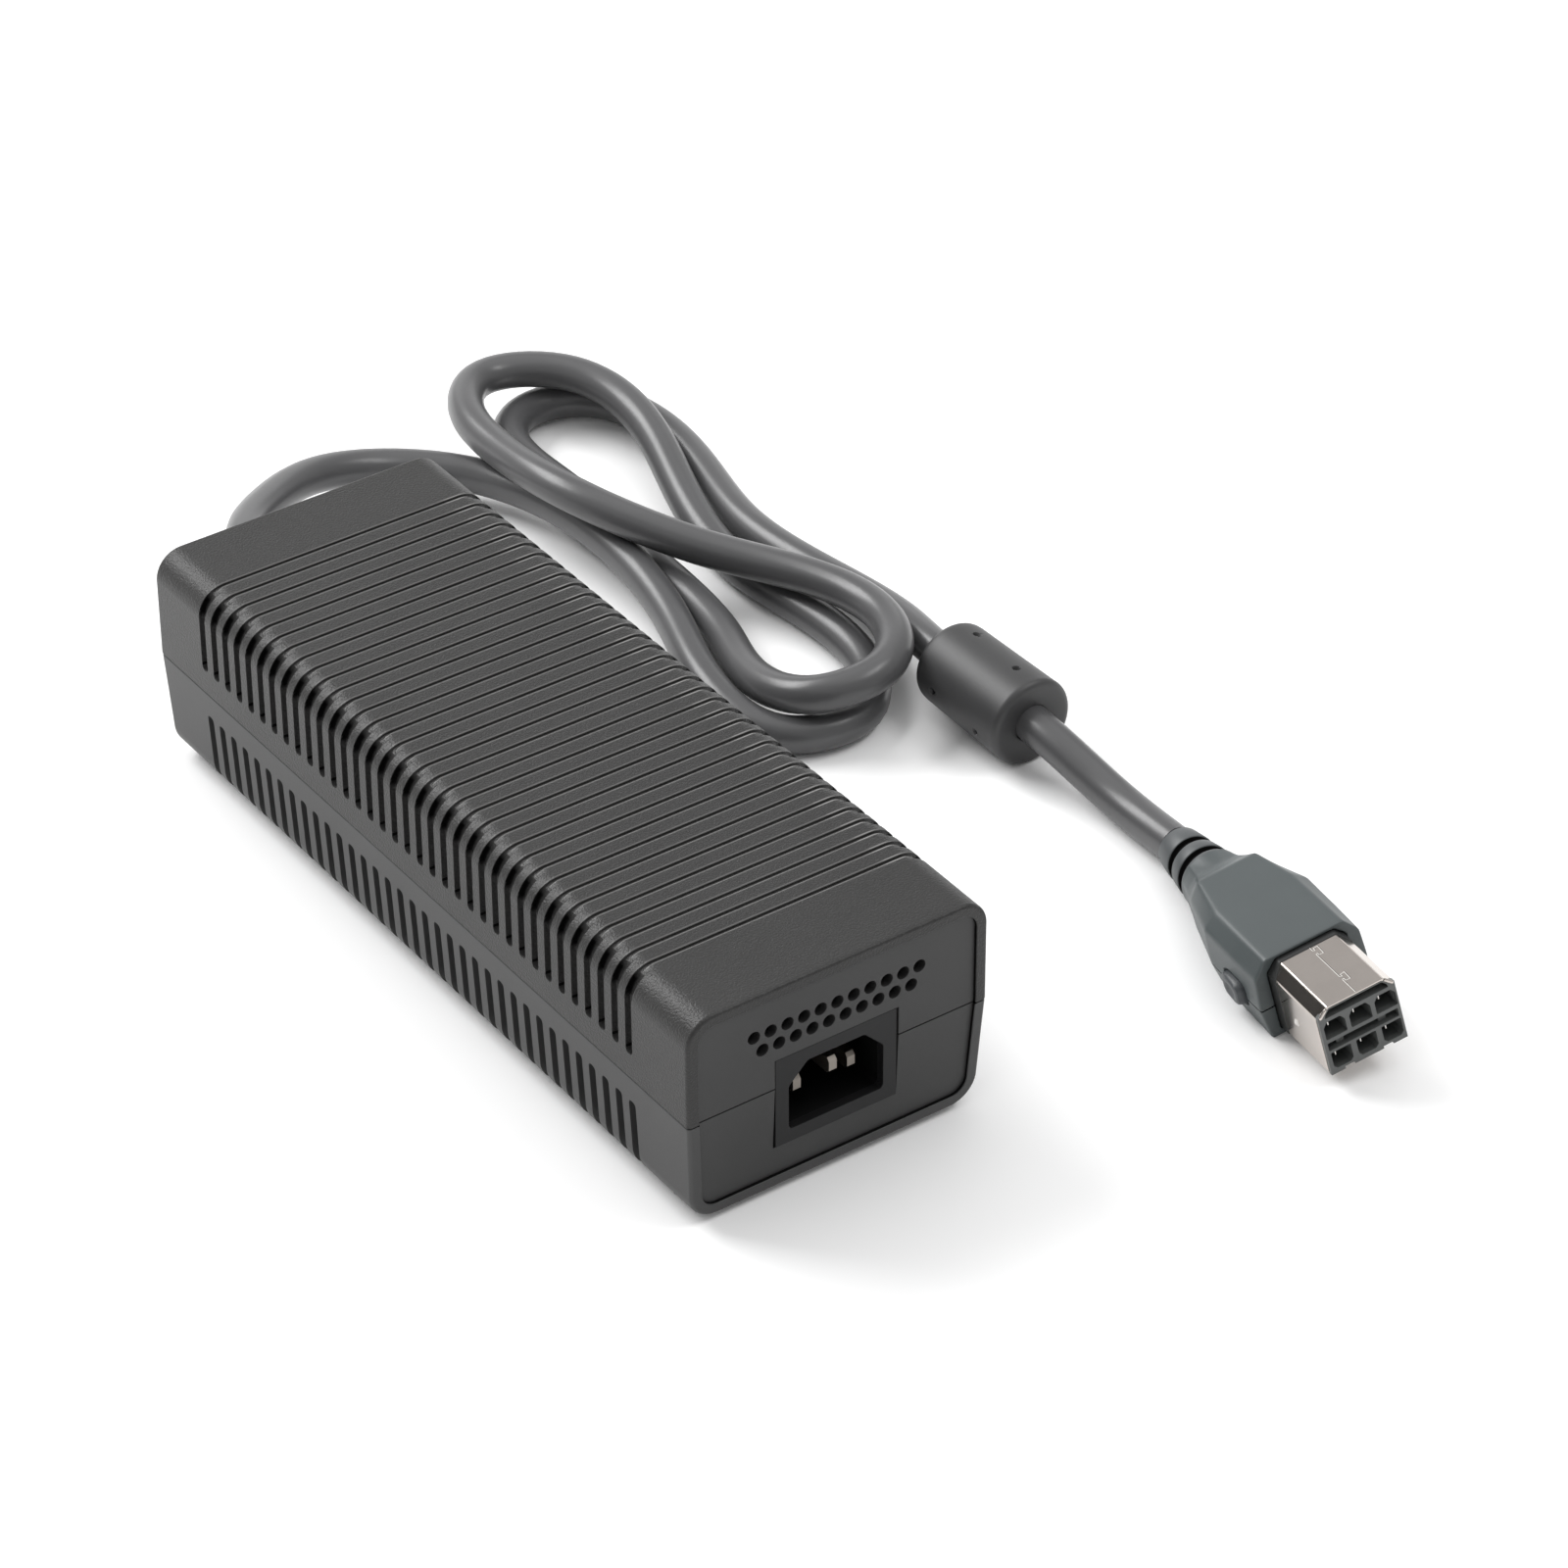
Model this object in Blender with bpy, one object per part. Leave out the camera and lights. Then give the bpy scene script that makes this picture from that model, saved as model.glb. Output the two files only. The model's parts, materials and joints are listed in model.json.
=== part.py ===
"""Power brick with a mains inlet, a thick DC lead, a suppressor sleeve and a six-way latching plug.

The brick stands on its feet at z = 0. Its length runs along Y, with the mains inlet at -Y.
"""

import math

import bmesh
import bpy
import numpy as np
from mathutils import Matrix, Vector

GAP = 0.0003  # clearance between touching pieces

# Case
CASE_WIDTH = 0.0771
CASE_LENGTH = 0.2152
CASE_TOP = 0.0556
CASE_BOTTOM = 0.0015
PARTING_Z = 0.0284
CASE_CORNER = 0.0070
CORNER_STEPS = 4
DRAFT = math.radians(3.0)
WALL = 0.0024
END_WALL = 0.0036
PANEL_RIM = 0.0028
PANEL_DEPTH = 0.0008

# Grooves over the upper shell and recesses down the lower one
GROOVE_COUNT = 35
GROOVE_PITCH = 0.00508
GROOVE_FIRST_Y = -0.0860
GROOVE_WIDTH = 0.0025
GROOVE_DEPTH = 0.0009
GROOVE_END_Z = PARTING_Z + 0.0065
SLOT_TOP_Z = PARTING_Z - 0.0065
SLOT_INNER_X = 0.0270

# Vents at both ends
VENT_DIAMETER = 0.0031
VENT_PITCH = 0.00424
VENT_ROWS = ((11, PARTING_Z + 0.01593), (10, PARTING_Z + 0.01186))

# Mains inlet
INLET_Z = PARTING_Z - 0.0045
INLET_FACE_Y = -CASE_LENGTH / 2 + 0.0011
BEZEL = (0.0313, 0.0232, 0.0020)
CAVITY = (0.0244, 0.0164, 0.0165)
CAVITY_CHAMFER = 0.0049
INLET_BODY = (0.0280, 0.0200, 0.0195)
PIN_SECTION = (0.0020, 0.0040)
PIN_SPREAD = 0.0070
LIVE_PIN_Z = INLET_Z - 0.0014
EARTH_PIN_Z = LIVE_PIN_Z + 0.0040
LIVE_TIP_Y = -0.1020
EARTH_TIP_Y = -0.1052
PIN_TAIL_Y = -0.0835

# Feet, screws and posts
CORNER_X = 0.0285
CORNER_Y = 0.0945
FOOT_RADIUS = 0.0050
FOOT_POCKET = 0.0010
POST_RADIUS = 0.0046
SCREW_RADIUS = 0.0015
SCREW_HEAD_Z = 0.0070

# Circuit board
BOARD_BOTTOM = 0.0090
BOARD_TOP = 0.0106
BOARD_HALF_WIDTH = 0.0320
BOARD_ENDS = (-0.0820, 0.0700)
TRANSFORMER_Y = 0.0060

# Fan
FAN_Y = 0.0840
FAN_SIDE = 0.0400
FAN_DEPTH = 0.0100
FAN_BLADES = 7
FAN_TWIST = math.radians(28)

# Lead
CORD_RADIUS = 0.0046
CORD_POINTS = 80
GLAND_END_Y = 0.1226
GLAND_FLANGE = 0.0085
GLAND_NECK = 0.0062
GLAND_COLLAR = 0.0080
GLAND_RINGS = 3
GLAND_RING_PITCH = 0.0036
GLAND_RING_RADIUS = 0.0070
GLAND_TAPER = 0.0004
GLAND_ROOT = 0.0054
CORD_ROUTE_MM = [
    (0, 123.5, 28.4), (0.5, 131.5, 28), (20, 158.5, 20.5), (45.5, 171.5, 13.5), (72, 163.5, 8.5),
    (87.5, 113, 9.5), (82, 74.5, 8), (74, 46, 7), (78.5, 25, 5), (97, 20, 5),
    (109.5, 32.5, 5), (113.5, 59, 5), (111, 92.5, 5), (117.5, 125.5, 8.5), (124, 153, 12),
    (118, 175, 14.5), (99, 184.5, 15), (85, 169, 16.5), (82, 151, 17.5), (82.5, 120, 20.5),
    (101, 86, 15), (114.5, 61, 15), (117, 37, 16), (100.5, 18, 17), (87.5, 21, 15),
    (84, 47, 8.5), (89.5, 64, 6.5), (94.5, 104, 5), (95.5, 144, 5), (97, 169, 6),
    (109, 178.5, 5), (121, 176, 5), (131, 145.5, 5), (123.5, 105, 5), (125.5, 40, 9.5),
    (123.2, 26, 11.2), (123.2, 4, 11.2), (123.2, -17, 11.2), (125.5, -41, 6), (125, -64.5, 6.3),
]

# Suppressor sleeve, along the lead
SLEEVE_X = 0.1232
SLEEVE_Z = 0.0112
SLEEVE_ENDS = (-0.0130, 0.0200)
SLEEVE_RADII = (0.0112, 0.0105)
SLEEVE_BORE = 0.0052
CORE_RADIUS = 0.0078

# Plug: its own frame starts in the middle of the shield's mouth, with y back along the plug and z up
PLUG_ORIGIN = (0.1094, -0.1483, 0.0151)
PLUG_YAW = math.radians(-10.6)
PLUG_PITCH = math.radians(-5.9)
PLUG_ROLL = math.radians(-13.0)
SHIELD_WIDTH = 0.0195
SHIELD_HEIGHT = 0.0179
SHIELD_CHAMFER = 0.0027
SHIELD_WALL = 0.0005
SHIELD_END = 0.0284
FRAME_DEPTH = 0.0015
FRAME_TOP = 0.0066
SOCKET_PITCH = 0.0063
SOCKET_WIDTH = 0.0049
SOCKET_CHAMFER = 0.0011
SOCKET_DEPTH = 0.0090
SOCKET_ROWS = ((0.0006, 0.0050, 1), (-0.0077, -0.0034, -1))
MIDDLE_SLOT = (-0.0026, -0.0005)
MIDDLE_SLOT_REACH = 0.0087
NOTCH_X = 0.0048
NOTCH_HALF_WIDTH = 0.0013
NOTCH_TOP = -0.0083
BLOCK_END = 0.0270
GRIP_FRONT = 0.0220
GRIP_SPLIT = -0.0024
GRIP_MOUTH = 0.0003
GRIP_POCKET_END = 0.0560
BOOT_START = 0.0689
BOOT_END = 0.0850
BOOT_RADII = (0.0070, 0.0052)
BOOT_GROOVES = (0.0700, 0.0760)
BOOT_GROOVE_WIDTH = 0.0022
BOOT_GROOVE_DEPTH = 0.0009
ARM_X = 0.00875
ARM_THICKNESS = 0.0005
ARM_FRONT = 0.0108
ARM_PIVOT_Y = 0.0550
HOOK_Y = 0.0132
HOOK_Z = -0.0030
HOOK_REACH = 0.0106
BUTTON_Y = 0.0335
BUTTON_LENGTH = 0.0088
BUTTON_HEIGHT = 0.0062
BUTTON_PROUD = 0.0154


def clear_scene():
    for obj in list(bpy.data.objects):
        bpy.data.objects.remove(obj, do_unlink=True)


def collection(name, helper=False):
    made = bpy.data.collections.new(name)
    made.hide_render = helper
    bpy.context.scene.collection.children.link(made)
    return made


def material(name, colour, roughness, metallic=0.0):
    made = bpy.data.materials.new(name)
    made.use_nodes = True
    shader = made.node_tree.nodes["Principled BSDF"]
    shader.inputs["Base Color"].default_value = (*colour, 1.0)
    shader.inputs["Roughness"].default_value = roughness
    shader.inputs["Metallic"].default_value = metallic
    return made


def place(a, b, t, axis):
    """The point at (a, b) across an axis and t along it."""
    if axis == "X":
        return Vector((t, a, b))
    if axis == "Y":
        return Vector((a, t, b))
    return Vector((a, b, t))


def loft(bm, rings, closed_tube=False):
    """Joins rings of points into one closed skin. A closed tube joins its last ring to its first."""
    loops = [[bm.verts.new(point) for point in ring] for ring in rings]
    pairs = list(zip(loops, loops[1:]))
    if closed_tube:
        pairs.append((loops[-1], loops[0]))
    else:
        bm.faces.new(loops[0])
        bm.faces.new(loops[-1])
    for low, high in pairs:
        for i, point in enumerate(low):
            after = (i + 1) % len(low)
            bm.faces.new((point, low[after], high[after], high[i]))


def prism(bm, outline, start, end, axis="Y"):
    loft(bm, [[place(a, b, t, axis) for a, b in outline] for t in (start, end)])


def box(bm, low, high):
    (x0, y0, z0), (x1, y1, z1) = low, high
    prism(bm, [(x0, z0), (x1, z0), (x1, z1), (x0, z1)], y0, y1)


def centred_box(bm, centre, size):
    low = [c - s / 2 for c, s in zip(centre, size)]
    high = [c + s / 2 for c, s in zip(centre, size)]
    box(bm, low, high)


def circle(radius, steps, centre=(0.0, 0.0), turn=0.0):
    angles = [turn + 2 * math.pi * i / steps for i in range(steps)]
    return [(centre[0] + radius * math.cos(a), centre[1] + radius * math.sin(a)) for a in angles]


def turned(bm, profile, centre, axis="Y", steps=20, bored=False):
    """A turned solid: profile lists (radius, station along the axis). A bored one closes on itself."""
    rings = [[place(a, b, t, axis) for a, b in circle(r, steps, centre)] for r, t in profile]
    loft(bm, rings, closed_tube=bored)


def finish(name, bm, finish_material, home, matrix=None):
    bmesh.ops.recalc_face_normals(bm, faces=bm.faces)
    mesh = bpy.data.meshes.new(name)
    bm.to_mesh(mesh)
    bm.free()
    obj = bpy.data.objects.new(name, mesh)
    home.objects.link(obj)
    if matrix is not None:
        obj.matrix_world = matrix
    if finish_material is not None:
        mesh.materials.append(finish_material)
    return obj


def solid(name, finish_material, build, matrix=None):
    """A visible part whose mesh is made by build(bm)."""
    bm = bmesh.new()
    build(bm)
    return finish(name, bm, finish_material, PART, matrix)


def boolean(target, label, build, operation="DIFFERENCE"):
    """Cuts from target, or joins to it, the shape made by build(bm), in the target's own frame."""
    bm = bmesh.new()
    build(bm)
    cutter = finish(f"{target.name}_{label}", bm, None, CUTTERS, target.matrix_world)
    cutter.hide_render = True
    cutter.display_type = "WIRE"
    modifier = target.modifiers.new(label, "BOOLEAN")
    modifier.operation = operation
    modifier.solver = "EXACT"
    modifier.object = cutter


def half_profile(offset, upper, start_z):
    """The case's right-hand outline from start_z to its top or bottom face, moved inwards by offset."""
    radius = CASE_CORNER - offset
    sign = 1 if upper else -1
    face = (CASE_TOP if upper else CASE_BOTTOM) - sign * offset
    centre_z = face - sign * radius
    slope = 0.0 if upper else math.tan(DRAFT)
    half = CASE_WIDTH / 2 - offset
    start_x = half - slope * (PARTING_Z - start_z)
    corner_x = half - slope * (PARTING_Z - centre_z) - radius
    points = [(start_x, start_z)]
    for step in range(CORNER_STEPS + 1):
        angle = math.pi / 2 * step / CORNER_STEPS
        points.append((corner_x + radius * math.cos(angle), centre_z + sign * radius * math.sin(angle)))
    return points


def full_profile(offset, upper, start_z):
    right = half_profile(offset, upper, start_z)
    return right + [(-x, z) for x, z in reversed(right)]


def lean_ends(bm):
    """Gives the lower half's end faces the case's draft."""
    for vert in bm.verts:
        lean = math.tan(DRAFT) * (PARTING_Z - vert.co.z)
        vert.co.y -= math.copysign(lean, vert.co.y)


def groove_positions():
    return [GROOVE_FIRST_Y + GROOVE_PITCH * i for i in range(GROOVE_COUNT)]


def cut_grooves(bm):
    outline = full_profile(-0.0015, True, GROOVE_END_Z)
    outline += full_profile(GROOVE_DEPTH, True, GROOVE_END_Z)[::-1]
    for y in groove_positions():
        prism(bm, outline, y - GROOVE_WIDTH / 2, y + GROOVE_WIDTH / 2)


def cut_slots(bm):
    outer = half_profile(-0.0015, False, SLOT_TOP_Z)
    inner = half_profile(GROOVE_DEPTH, False, SLOT_TOP_Z)
    right = outer + [(SLOT_INNER_X, outer[-1][1]), (SLOT_INNER_X, inner[-1][1])] + inner[::-1]
    for outline in (right, [(-x, z) for x, z in right]):
        for y in groove_positions():
            prism(bm, outline, y - GROOVE_WIDTH / 2, y + GROOVE_WIDTH / 2)


def cut_vents(bm):
    outer, inner = CASE_LENGTH / 2 + 0.001, CASE_LENGTH / 2 - END_WALL - 0.001
    for count, z in VENT_ROWS:
        for i in range(count):
            x = (i - (count - 1) / 2) * VENT_PITCH
            outline = circle(VENT_DIAMETER / 2, 8, (x, z), math.pi / 8)
            prism(bm, outline, -outer, -inner)
            prism(bm, outline, inner, outer)


def cut_panels(bm, upper):
    start = PARTING_Z - 0.001 if upper else PARTING_Z + 0.001
    outline = full_profile(PANEL_RIM, upper, start)
    for side in (-1, 1):
        prism(bm, outline, side * (CASE_LENGTH / 2 - PANEL_DEPTH), side * (CASE_LENGTH / 2 + 0.002))
    if not upper:
        lean_ends(bm)


def cut_inlet(bm):
    centred_box(bm, (0, -CASE_LENGTH / 2, INLET_Z), (BEZEL[0] + 2 * GAP, 0.012, BEZEL[1] + 2 * GAP))


def cut_gland(bm):
    outline = circle(0.0062 + GAP, 16, (0, PARTING_Z))
    prism(bm, outline, CASE_LENGTH / 2 - END_WALL - 0.001, CASE_LENGTH / 2 + 0.001)


def corners():
    return [(sx * CORNER_X, sy * CORNER_Y) for sy in (-1, 1) for sx in (-1, 1)]


def at_corners(radius, low, high, steps=16):
    def build(bm):
        for centre in corners():
            turned(bm, [(radius, low), (radius, high)], centre, "Z", steps)

    return build


def make_upper_shell():
    def body(bm):
        outline = full_profile(0.0, True, PARTING_Z + GAP / 2)
        prism(bm, outline, -CASE_LENGTH / 2, CASE_LENGTH / 2)

    def hollow(bm):
        outline = full_profile(WALL, True, PARTING_Z - 0.001)
        prism(bm, outline, -CASE_LENGTH / 2 + END_WALL, CASE_LENGTH / 2 - END_WALL)

    shell = solid("upper_shell", CASE_PLASTIC, body)
    boolean(shell, "hollow", hollow)
    boolean(shell, "posts", at_corners(POST_RADIUS, PARTING_Z + GAP / 2, CASE_TOP - WALL / 2), "UNION")
    pilot = at_corners(SCREW_RADIUS + GAP, PARTING_Z - 0.001, PARTING_Z + 0.0120, 8)
    boolean(shell, "pilot_holes", pilot)
    boolean(shell, "grooves", cut_grooves)
    boolean(shell, "panels", lambda bm: cut_panels(bm, True))
    boolean(shell, "vents", cut_vents)
    boolean(shell, "inlet", cut_inlet)
    boolean(shell, "gland", cut_gland)


def make_lower_shell():
    def body(bm):
        outline = full_profile(0.0, False, PARTING_Z - GAP / 2)
        prism(bm, outline, -CASE_LENGTH / 2, CASE_LENGTH / 2)
        lean_ends(bm)

    def hollow(bm):
        outline = full_profile(WALL, False, PARTING_Z + 0.001)
        prism(bm, outline, -CASE_LENGTH / 2 + END_WALL, CASE_LENGTH / 2 - END_WALL)

    def board_posts(bm):
        for x in (-0.0270, 0.0270):
            for y in (-0.0700, 0.0600):
                turned(bm, [(0.0025, 0.0030), (0.0025, BOARD_BOTTOM - GAP)], (x, y), "Z", 10)
        for x in (-0.0120, 0.0120):
            height = PARTING_Z - FAN_SIDE / 2 - 0.0029 - GAP
            centred_box(bm, (x, FAN_Y, 0.0055), (0.0060, FAN_DEPTH, height))

    floor = CASE_BOTTOM + FOOT_POCKET
    shell = solid("lower_shell", CASE_PLASTIC, body)
    boolean(shell, "hollow", hollow)
    posts = at_corners(POST_RADIUS, CASE_BOTTOM + WALL / 2, PARTING_Z - GAP / 2)
    boolean(shell, "posts", posts, "UNION")
    boolean(shell, "board_posts", board_posts, "UNION")
    boolean(shell, "foot_pockets", at_corners(FOOT_RADIUS + GAP, CASE_BOTTOM - 0.001, floor))
    boolean(shell, "counterbores", at_corners(0.0032, floor - 0.0005, SCREW_HEAD_Z, 12))
    holes = at_corners(SCREW_RADIUS + GAP, SCREW_HEAD_Z - 0.001, PARTING_Z + 0.001, 8)
    boolean(shell, "screw_holes", holes)
    boolean(shell, "slots", cut_slots)
    boolean(shell, "panels", lambda bm: cut_panels(bm, False))
    boolean(shell, "inlet", cut_inlet)
    boolean(shell, "gland", cut_gland)


def make_feet_and_screws():
    foot_top = CASE_BOTTOM + FOOT_POCKET - GAP
    foot = [(FOOT_RADIUS - 0.0004, 0.0), (FOOT_RADIUS, 0.0004), (FOOT_RADIUS, foot_top)]
    head = SCREW_HEAD_Z - GAP
    screw = [(0.0022, head - 0.0022), (0.0028, head - 0.0014), (0.0028, head), (SCREW_RADIUS, head)]
    screw += [(SCREW_RADIUS, PARTING_Z + 0.0090), (0.0004, PARTING_Z + 0.0105)]
    for number, centre in enumerate(corners(), 1):
        solid(f"foot_{number}", RUBBER, lambda bm: turned(bm, foot, centre, "Z", 20))
        solid(f"case_screw_{number}", SCREW_STEEL, lambda bm: turned(bm, screw, centre, "Z", 12))


def make_inlet():
    def rectangle(width, height):
        return [(-width / 2, INLET_Z - height / 2), (width / 2, INLET_Z - height / 2),
                (width / 2, INLET_Z + height / 2), (-width / 2, INLET_Z + height / 2)]

    def cavity(bm):
        w, h = CAVITY[0] / 2, CAVITY[1] / 2
        c = CAVITY_CHAMFER
        shape = [(-w, -h), (w, -h), (w, h - c), (w - c, h), (c - w, h), (-w, h - c)]
        outline = [(x, INLET_Z + z) for x, z in shape]
        prism(bm, outline, INLET_FACE_Y - 0.001, INLET_FACE_Y + CAVITY[2])

    def pin_holes(bm):
        for x, z in pins:
            slot = (PIN_SECTION[0] + 2 * GAP, 0.010, PIN_SECTION[1] + 2 * GAP)
            centred_box(bm, (x, INLET_FACE_Y + CAVITY[2], z), slot)

    pins = [(-PIN_SPREAD, LIVE_PIN_Z), (PIN_SPREAD, LIVE_PIN_Z), (0.0, EARTH_PIN_Z)]
    bezel = rectangle(BEZEL[0], BEZEL[1])
    body = rectangle(INLET_BODY[0], INLET_BODY[1])
    back = INLET_FACE_Y + BEZEL[2]
    housing = solid("inlet_housing", INLET_PLASTIC, lambda bm: prism(bm, bezel, INLET_FACE_Y, back))
    rear = INLET_FACE_Y + INLET_BODY[2]
    boolean(housing, "body", lambda bm: prism(bm, body, back - 0.001, rear), "UNION")
    boolean(housing, "cavity", cavity)
    boolean(housing, "pin_holes", pin_holes)
    tips = (LIVE_TIP_Y, LIVE_TIP_Y, EARTH_TIP_Y)
    for name, (x, z), tip in zip(("line", "neutral", "earth"), pins, tips):
        w, h = PIN_SECTION[0] / 2, PIN_SECTION[1] / 2
        side = [(tip, z - h + 0.0008), (tip + 0.0008, z - h), (PIN_TAIL_Y, z - h),
                (PIN_TAIL_Y, z + h), (tip + 0.0008, z + h), (tip, z + h - 0.0008)]
        solid(f"inlet_pin_{name}", PIN_METAL, lambda bm: prism(bm, side, x - w, x + w, "X"))


def toroid(bm, centre, major, minor, axis, steps=14, sides=8):
    rings = []
    for i in range(steps):
        turn = 2 * math.pi * i / steps
        ring = []
        for a, b in circle(minor, sides):
            reach = major + a
            ring.append(Vector(centre) + place(reach * math.cos(turn), reach * math.sin(turn), b, axis))
        rings.append(ring)
    loft(bm, rings, closed_tube=True)


def make_board_and_parts():
    deck = BOARD_TOP + GAP

    def can(name, finish_material, x, y, radius, height):
        bead = [(radius - 0.0008, deck), (radius, deck + 0.0008), (radius, deck + height - 0.0010)]
        bead += [(radius - 0.0012, deck + height)]
        solid(name, finish_material, lambda bm: turned(bm, bead, (x, y), "Z", 18))

    def block(name, finish_material, centre, size):
        middle = (centre[0], centre[1], deck + size[2] / 2)
        solid(name, finish_material, lambda bm: centred_box(bm, middle, size))

    def finned(name, x, y, length, height):
        """A comb-shaped extrusion with its back at x and its fins towards the nearer wall."""
        side = math.copysign(1.0, x)
        outline = [(x, deck), (x + side * 0.0020, deck)]
        for fin in range(5):
            low = deck + 0.0040 + fin * (height - 0.0060) / 5
            outline += [(x + side * 0.0020, low), (x + side * 0.0060, low)]
            outline += [(x + side * 0.0060, low + 0.0015), (x + side * 0.0020, low + 0.0015)]
        outline += [(x + side * 0.0020, deck + height), (x, deck + height)]
        solid(name, ALUMINIUM, lambda bm: prism(bm, outline, y - length / 2, y + length / 2))

    def transformer_core(bm):
        centred_box(bm, (0, TRANSFORMER_Y, deck + 0.017), (0.0400, 0.0160, 0.0340))

    def core_windows(bm):
        for x in (-0.0105, 0.0105):
            centred_box(bm, (x, TRANSFORMER_Y, deck + 0.017), (0.0090, 0.0200, 0.0230))

    def winding(bm):
        outer = [(-0.0145, -0.0145), (0.0145, -0.0145), (0.0145, 0.0145), (-0.0145, 0.0145)]
        inner = [(x * 0.0064 / 0.0145, y * 0.0084 / 0.0145) for x, y in outer]
        rings = []
        for outline, z in ((outer, 0.0062), (outer, 0.0278), (inner, 0.0278), (inner, 0.0062)):
            rings.append([Vector((x, TRANSFORMER_Y + y, deck + z)) for x, y in outline])
        loft(bm, rings, closed_tube=True)

    board_low = (-BOARD_HALF_WIDTH, BOARD_ENDS[0], BOARD_BOTTOM)
    board_high = (BOARD_HALF_WIDTH, BOARD_ENDS[1], BOARD_TOP)
    solid("circuit_board", BOARD_EPOXY, lambda bm: box(bm, board_low, board_high))
    can("bulk_capacitor_1", CAPACITOR_SLEEVE, -0.0120, -0.0280, 0.0110, 0.0380)
    can("bulk_capacitor_2", CAPACITOR_SLEEVE, 0.0120, -0.0280, 0.0110, 0.0380)
    core = solid("transformer_core", FERRITE, transformer_core)
    boolean(core, "windows", core_windows)
    solid("transformer_winding", COPPER, winding)
    choke = Vector((0.0130, -0.0600, deck + 0.0130))
    solid("mains_choke", FERRITE, lambda bm: toroid(bm, choke, 0.0090, 0.0038, "Y"))
    block("suppression_capacitor", FILM_YELLOW, (-0.0140, -0.0620), (0.0240, 0.0110, 0.0180))
    block("mains_fuse", FUSE_CERAMIC, (0.0130, -0.0740), (0.0200, 0.0050, 0.0070))
    finned("primary_heat_sink", -0.0250, -0.0150, 0.0700, 0.0340)
    finned("secondary_heat_sink", 0.0250, 0.0300, 0.0600, 0.0340)
    block("switching_transistor", MOULD_BLACK, (-0.0221, -0.0100), (0.0045, 0.0110, 0.0180))
    block("output_rectifier", MOULD_BLACK, (0.0221, 0.0380), (0.0045, 0.0110, 0.0180))
    for number, y in enumerate((0.0360, 0.0490, 0.0620), 1):
        can(f"output_capacitor_{number}", CAPACITOR_SLEEVE, -0.0150, y, 0.0060, 0.0250)
    inductor = Vector((0.0060, 0.0520, deck + 0.0120))
    solid("output_inductor", FERRITE, lambda bm: toroid(bm, inductor, 0.0080, 0.0036, "X"))


def make_fan():
    def frame(bm):
        half = FAN_SIDE / 2
        shape = [(-half, -half), (half, -half), (half, half), (-half, half)]
        outline = [(x, PARTING_Z + z) for x, z in shape]
        prism(bm, outline, FAN_Y - FAN_DEPTH / 2, FAN_Y + FAN_DEPTH / 2)

    def tunnel(bm):
        outline = circle(0.0188, 24, (0, PARTING_Z))
        prism(bm, outline, FAN_Y - FAN_DEPTH / 2 - 0.001, FAN_Y + FAN_DEPTH / 2 + 0.001)

    def motor_mount(bm):
        """A disc with four struts, as one outline."""
        outline = []
        for strut in range(4):
            turn = math.radians(45 + 90 * strut)
            along = Vector((math.cos(turn), math.sin(turn)))
            across = Vector((-math.sin(turn), math.cos(turn)))
            outline += [along * 0.0205 + across * 0.0010 * side for side in (-1, 1)]
            outline += [Vector(p) for p in circle(0.0085, 16, turn=turn)[1:4]]
        back = FAN_Y - FAN_DEPTH / 2
        prism(bm, [(p.x, PARTING_Z + p.y) for p in outline], back + GAP, back + 0.0015)

    def rotor(bm):
        """Hub and blades as one twisted outline: each blade is a step out from the hub's radius."""
        rings = []
        for step in range(4):
            part = step / 3
            y = -0.0030 + 0.0070 * part
            ring = []
            for blade in range(FAN_BLADES):
                start = 2 * math.pi * blade / FAN_BLADES + FAN_TWIST * part
                for angle, radius in ((0.0, 0.0078), (0.05, 0.0178), (0.20, 0.0178), (0.45, 0.0078)):
                    ring.append((radius * math.cos(start + angle), y, radius * math.sin(start + angle)))
            rings.append(ring)
        loft(bm, rings)

    housing = solid("fan_frame", FAN_PLASTIC, frame)
    boolean(housing, "tunnel", tunnel)
    boolean(housing, "motor_mount", motor_mount, "UNION")
    solid("fan_rotor", FAN_PLASTIC, rotor, Matrix.Translation((0, FAN_Y, PARTING_Z)))


def make_gland():
    """The ribbed strain relief in the end wall, with a flange inside and a collar outside."""
    end = CASE_LENGTH / 2
    inner = end - END_WALL - GAP
    profile = [(GLAND_FLANGE, inner - 0.0027), (GLAND_FLANGE, inner), (GLAND_NECK, inner)]
    profile += [(GLAND_NECK, end + GAP), (GLAND_COLLAR, end + GAP), (GLAND_COLLAR, end + 0.0016)]
    profile += [(GLAND_COLLAR - 0.0008, end + 0.0022)]
    for ring in range(GLAND_RINGS):
        y = end + (ring + 1) * GLAND_RING_PITCH
        radius = GLAND_RING_RADIUS - ring * GLAND_TAPER
        profile += [(radius, y), (GLAND_ROOT, y + 0.0002), (GLAND_ROOT, y + 0.0014)]
        profile += [(radius - 0.0002, y + 0.0016)]
    profile += [(GLAND_ROOT + GLAND_TAPER, GLAND_END_Y)]
    solid("lead_gland", CORD_JACKET, lambda bm: turned(bm, profile, (0, PARTING_Z), "Y", 16))


def second_derivatives(knots, values):
    """Natural cubic spline: the second derivative at each knot."""
    gaps = np.diff(knots)
    slopes = np.diff(values, axis=0) / gaps[:, None]
    count = len(knots)
    system = np.eye(count)
    right = np.zeros_like(values)
    for i in range(1, count - 1):
        system[i, i - 1] = gaps[i - 1]
        system[i, i] = 2 * (gaps[i - 1] + gaps[i])
        system[i, i + 1] = gaps[i]
        right[i] = 6 * (slopes[i] - slopes[i - 1])
    return np.linalg.solve(system, right)


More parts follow.
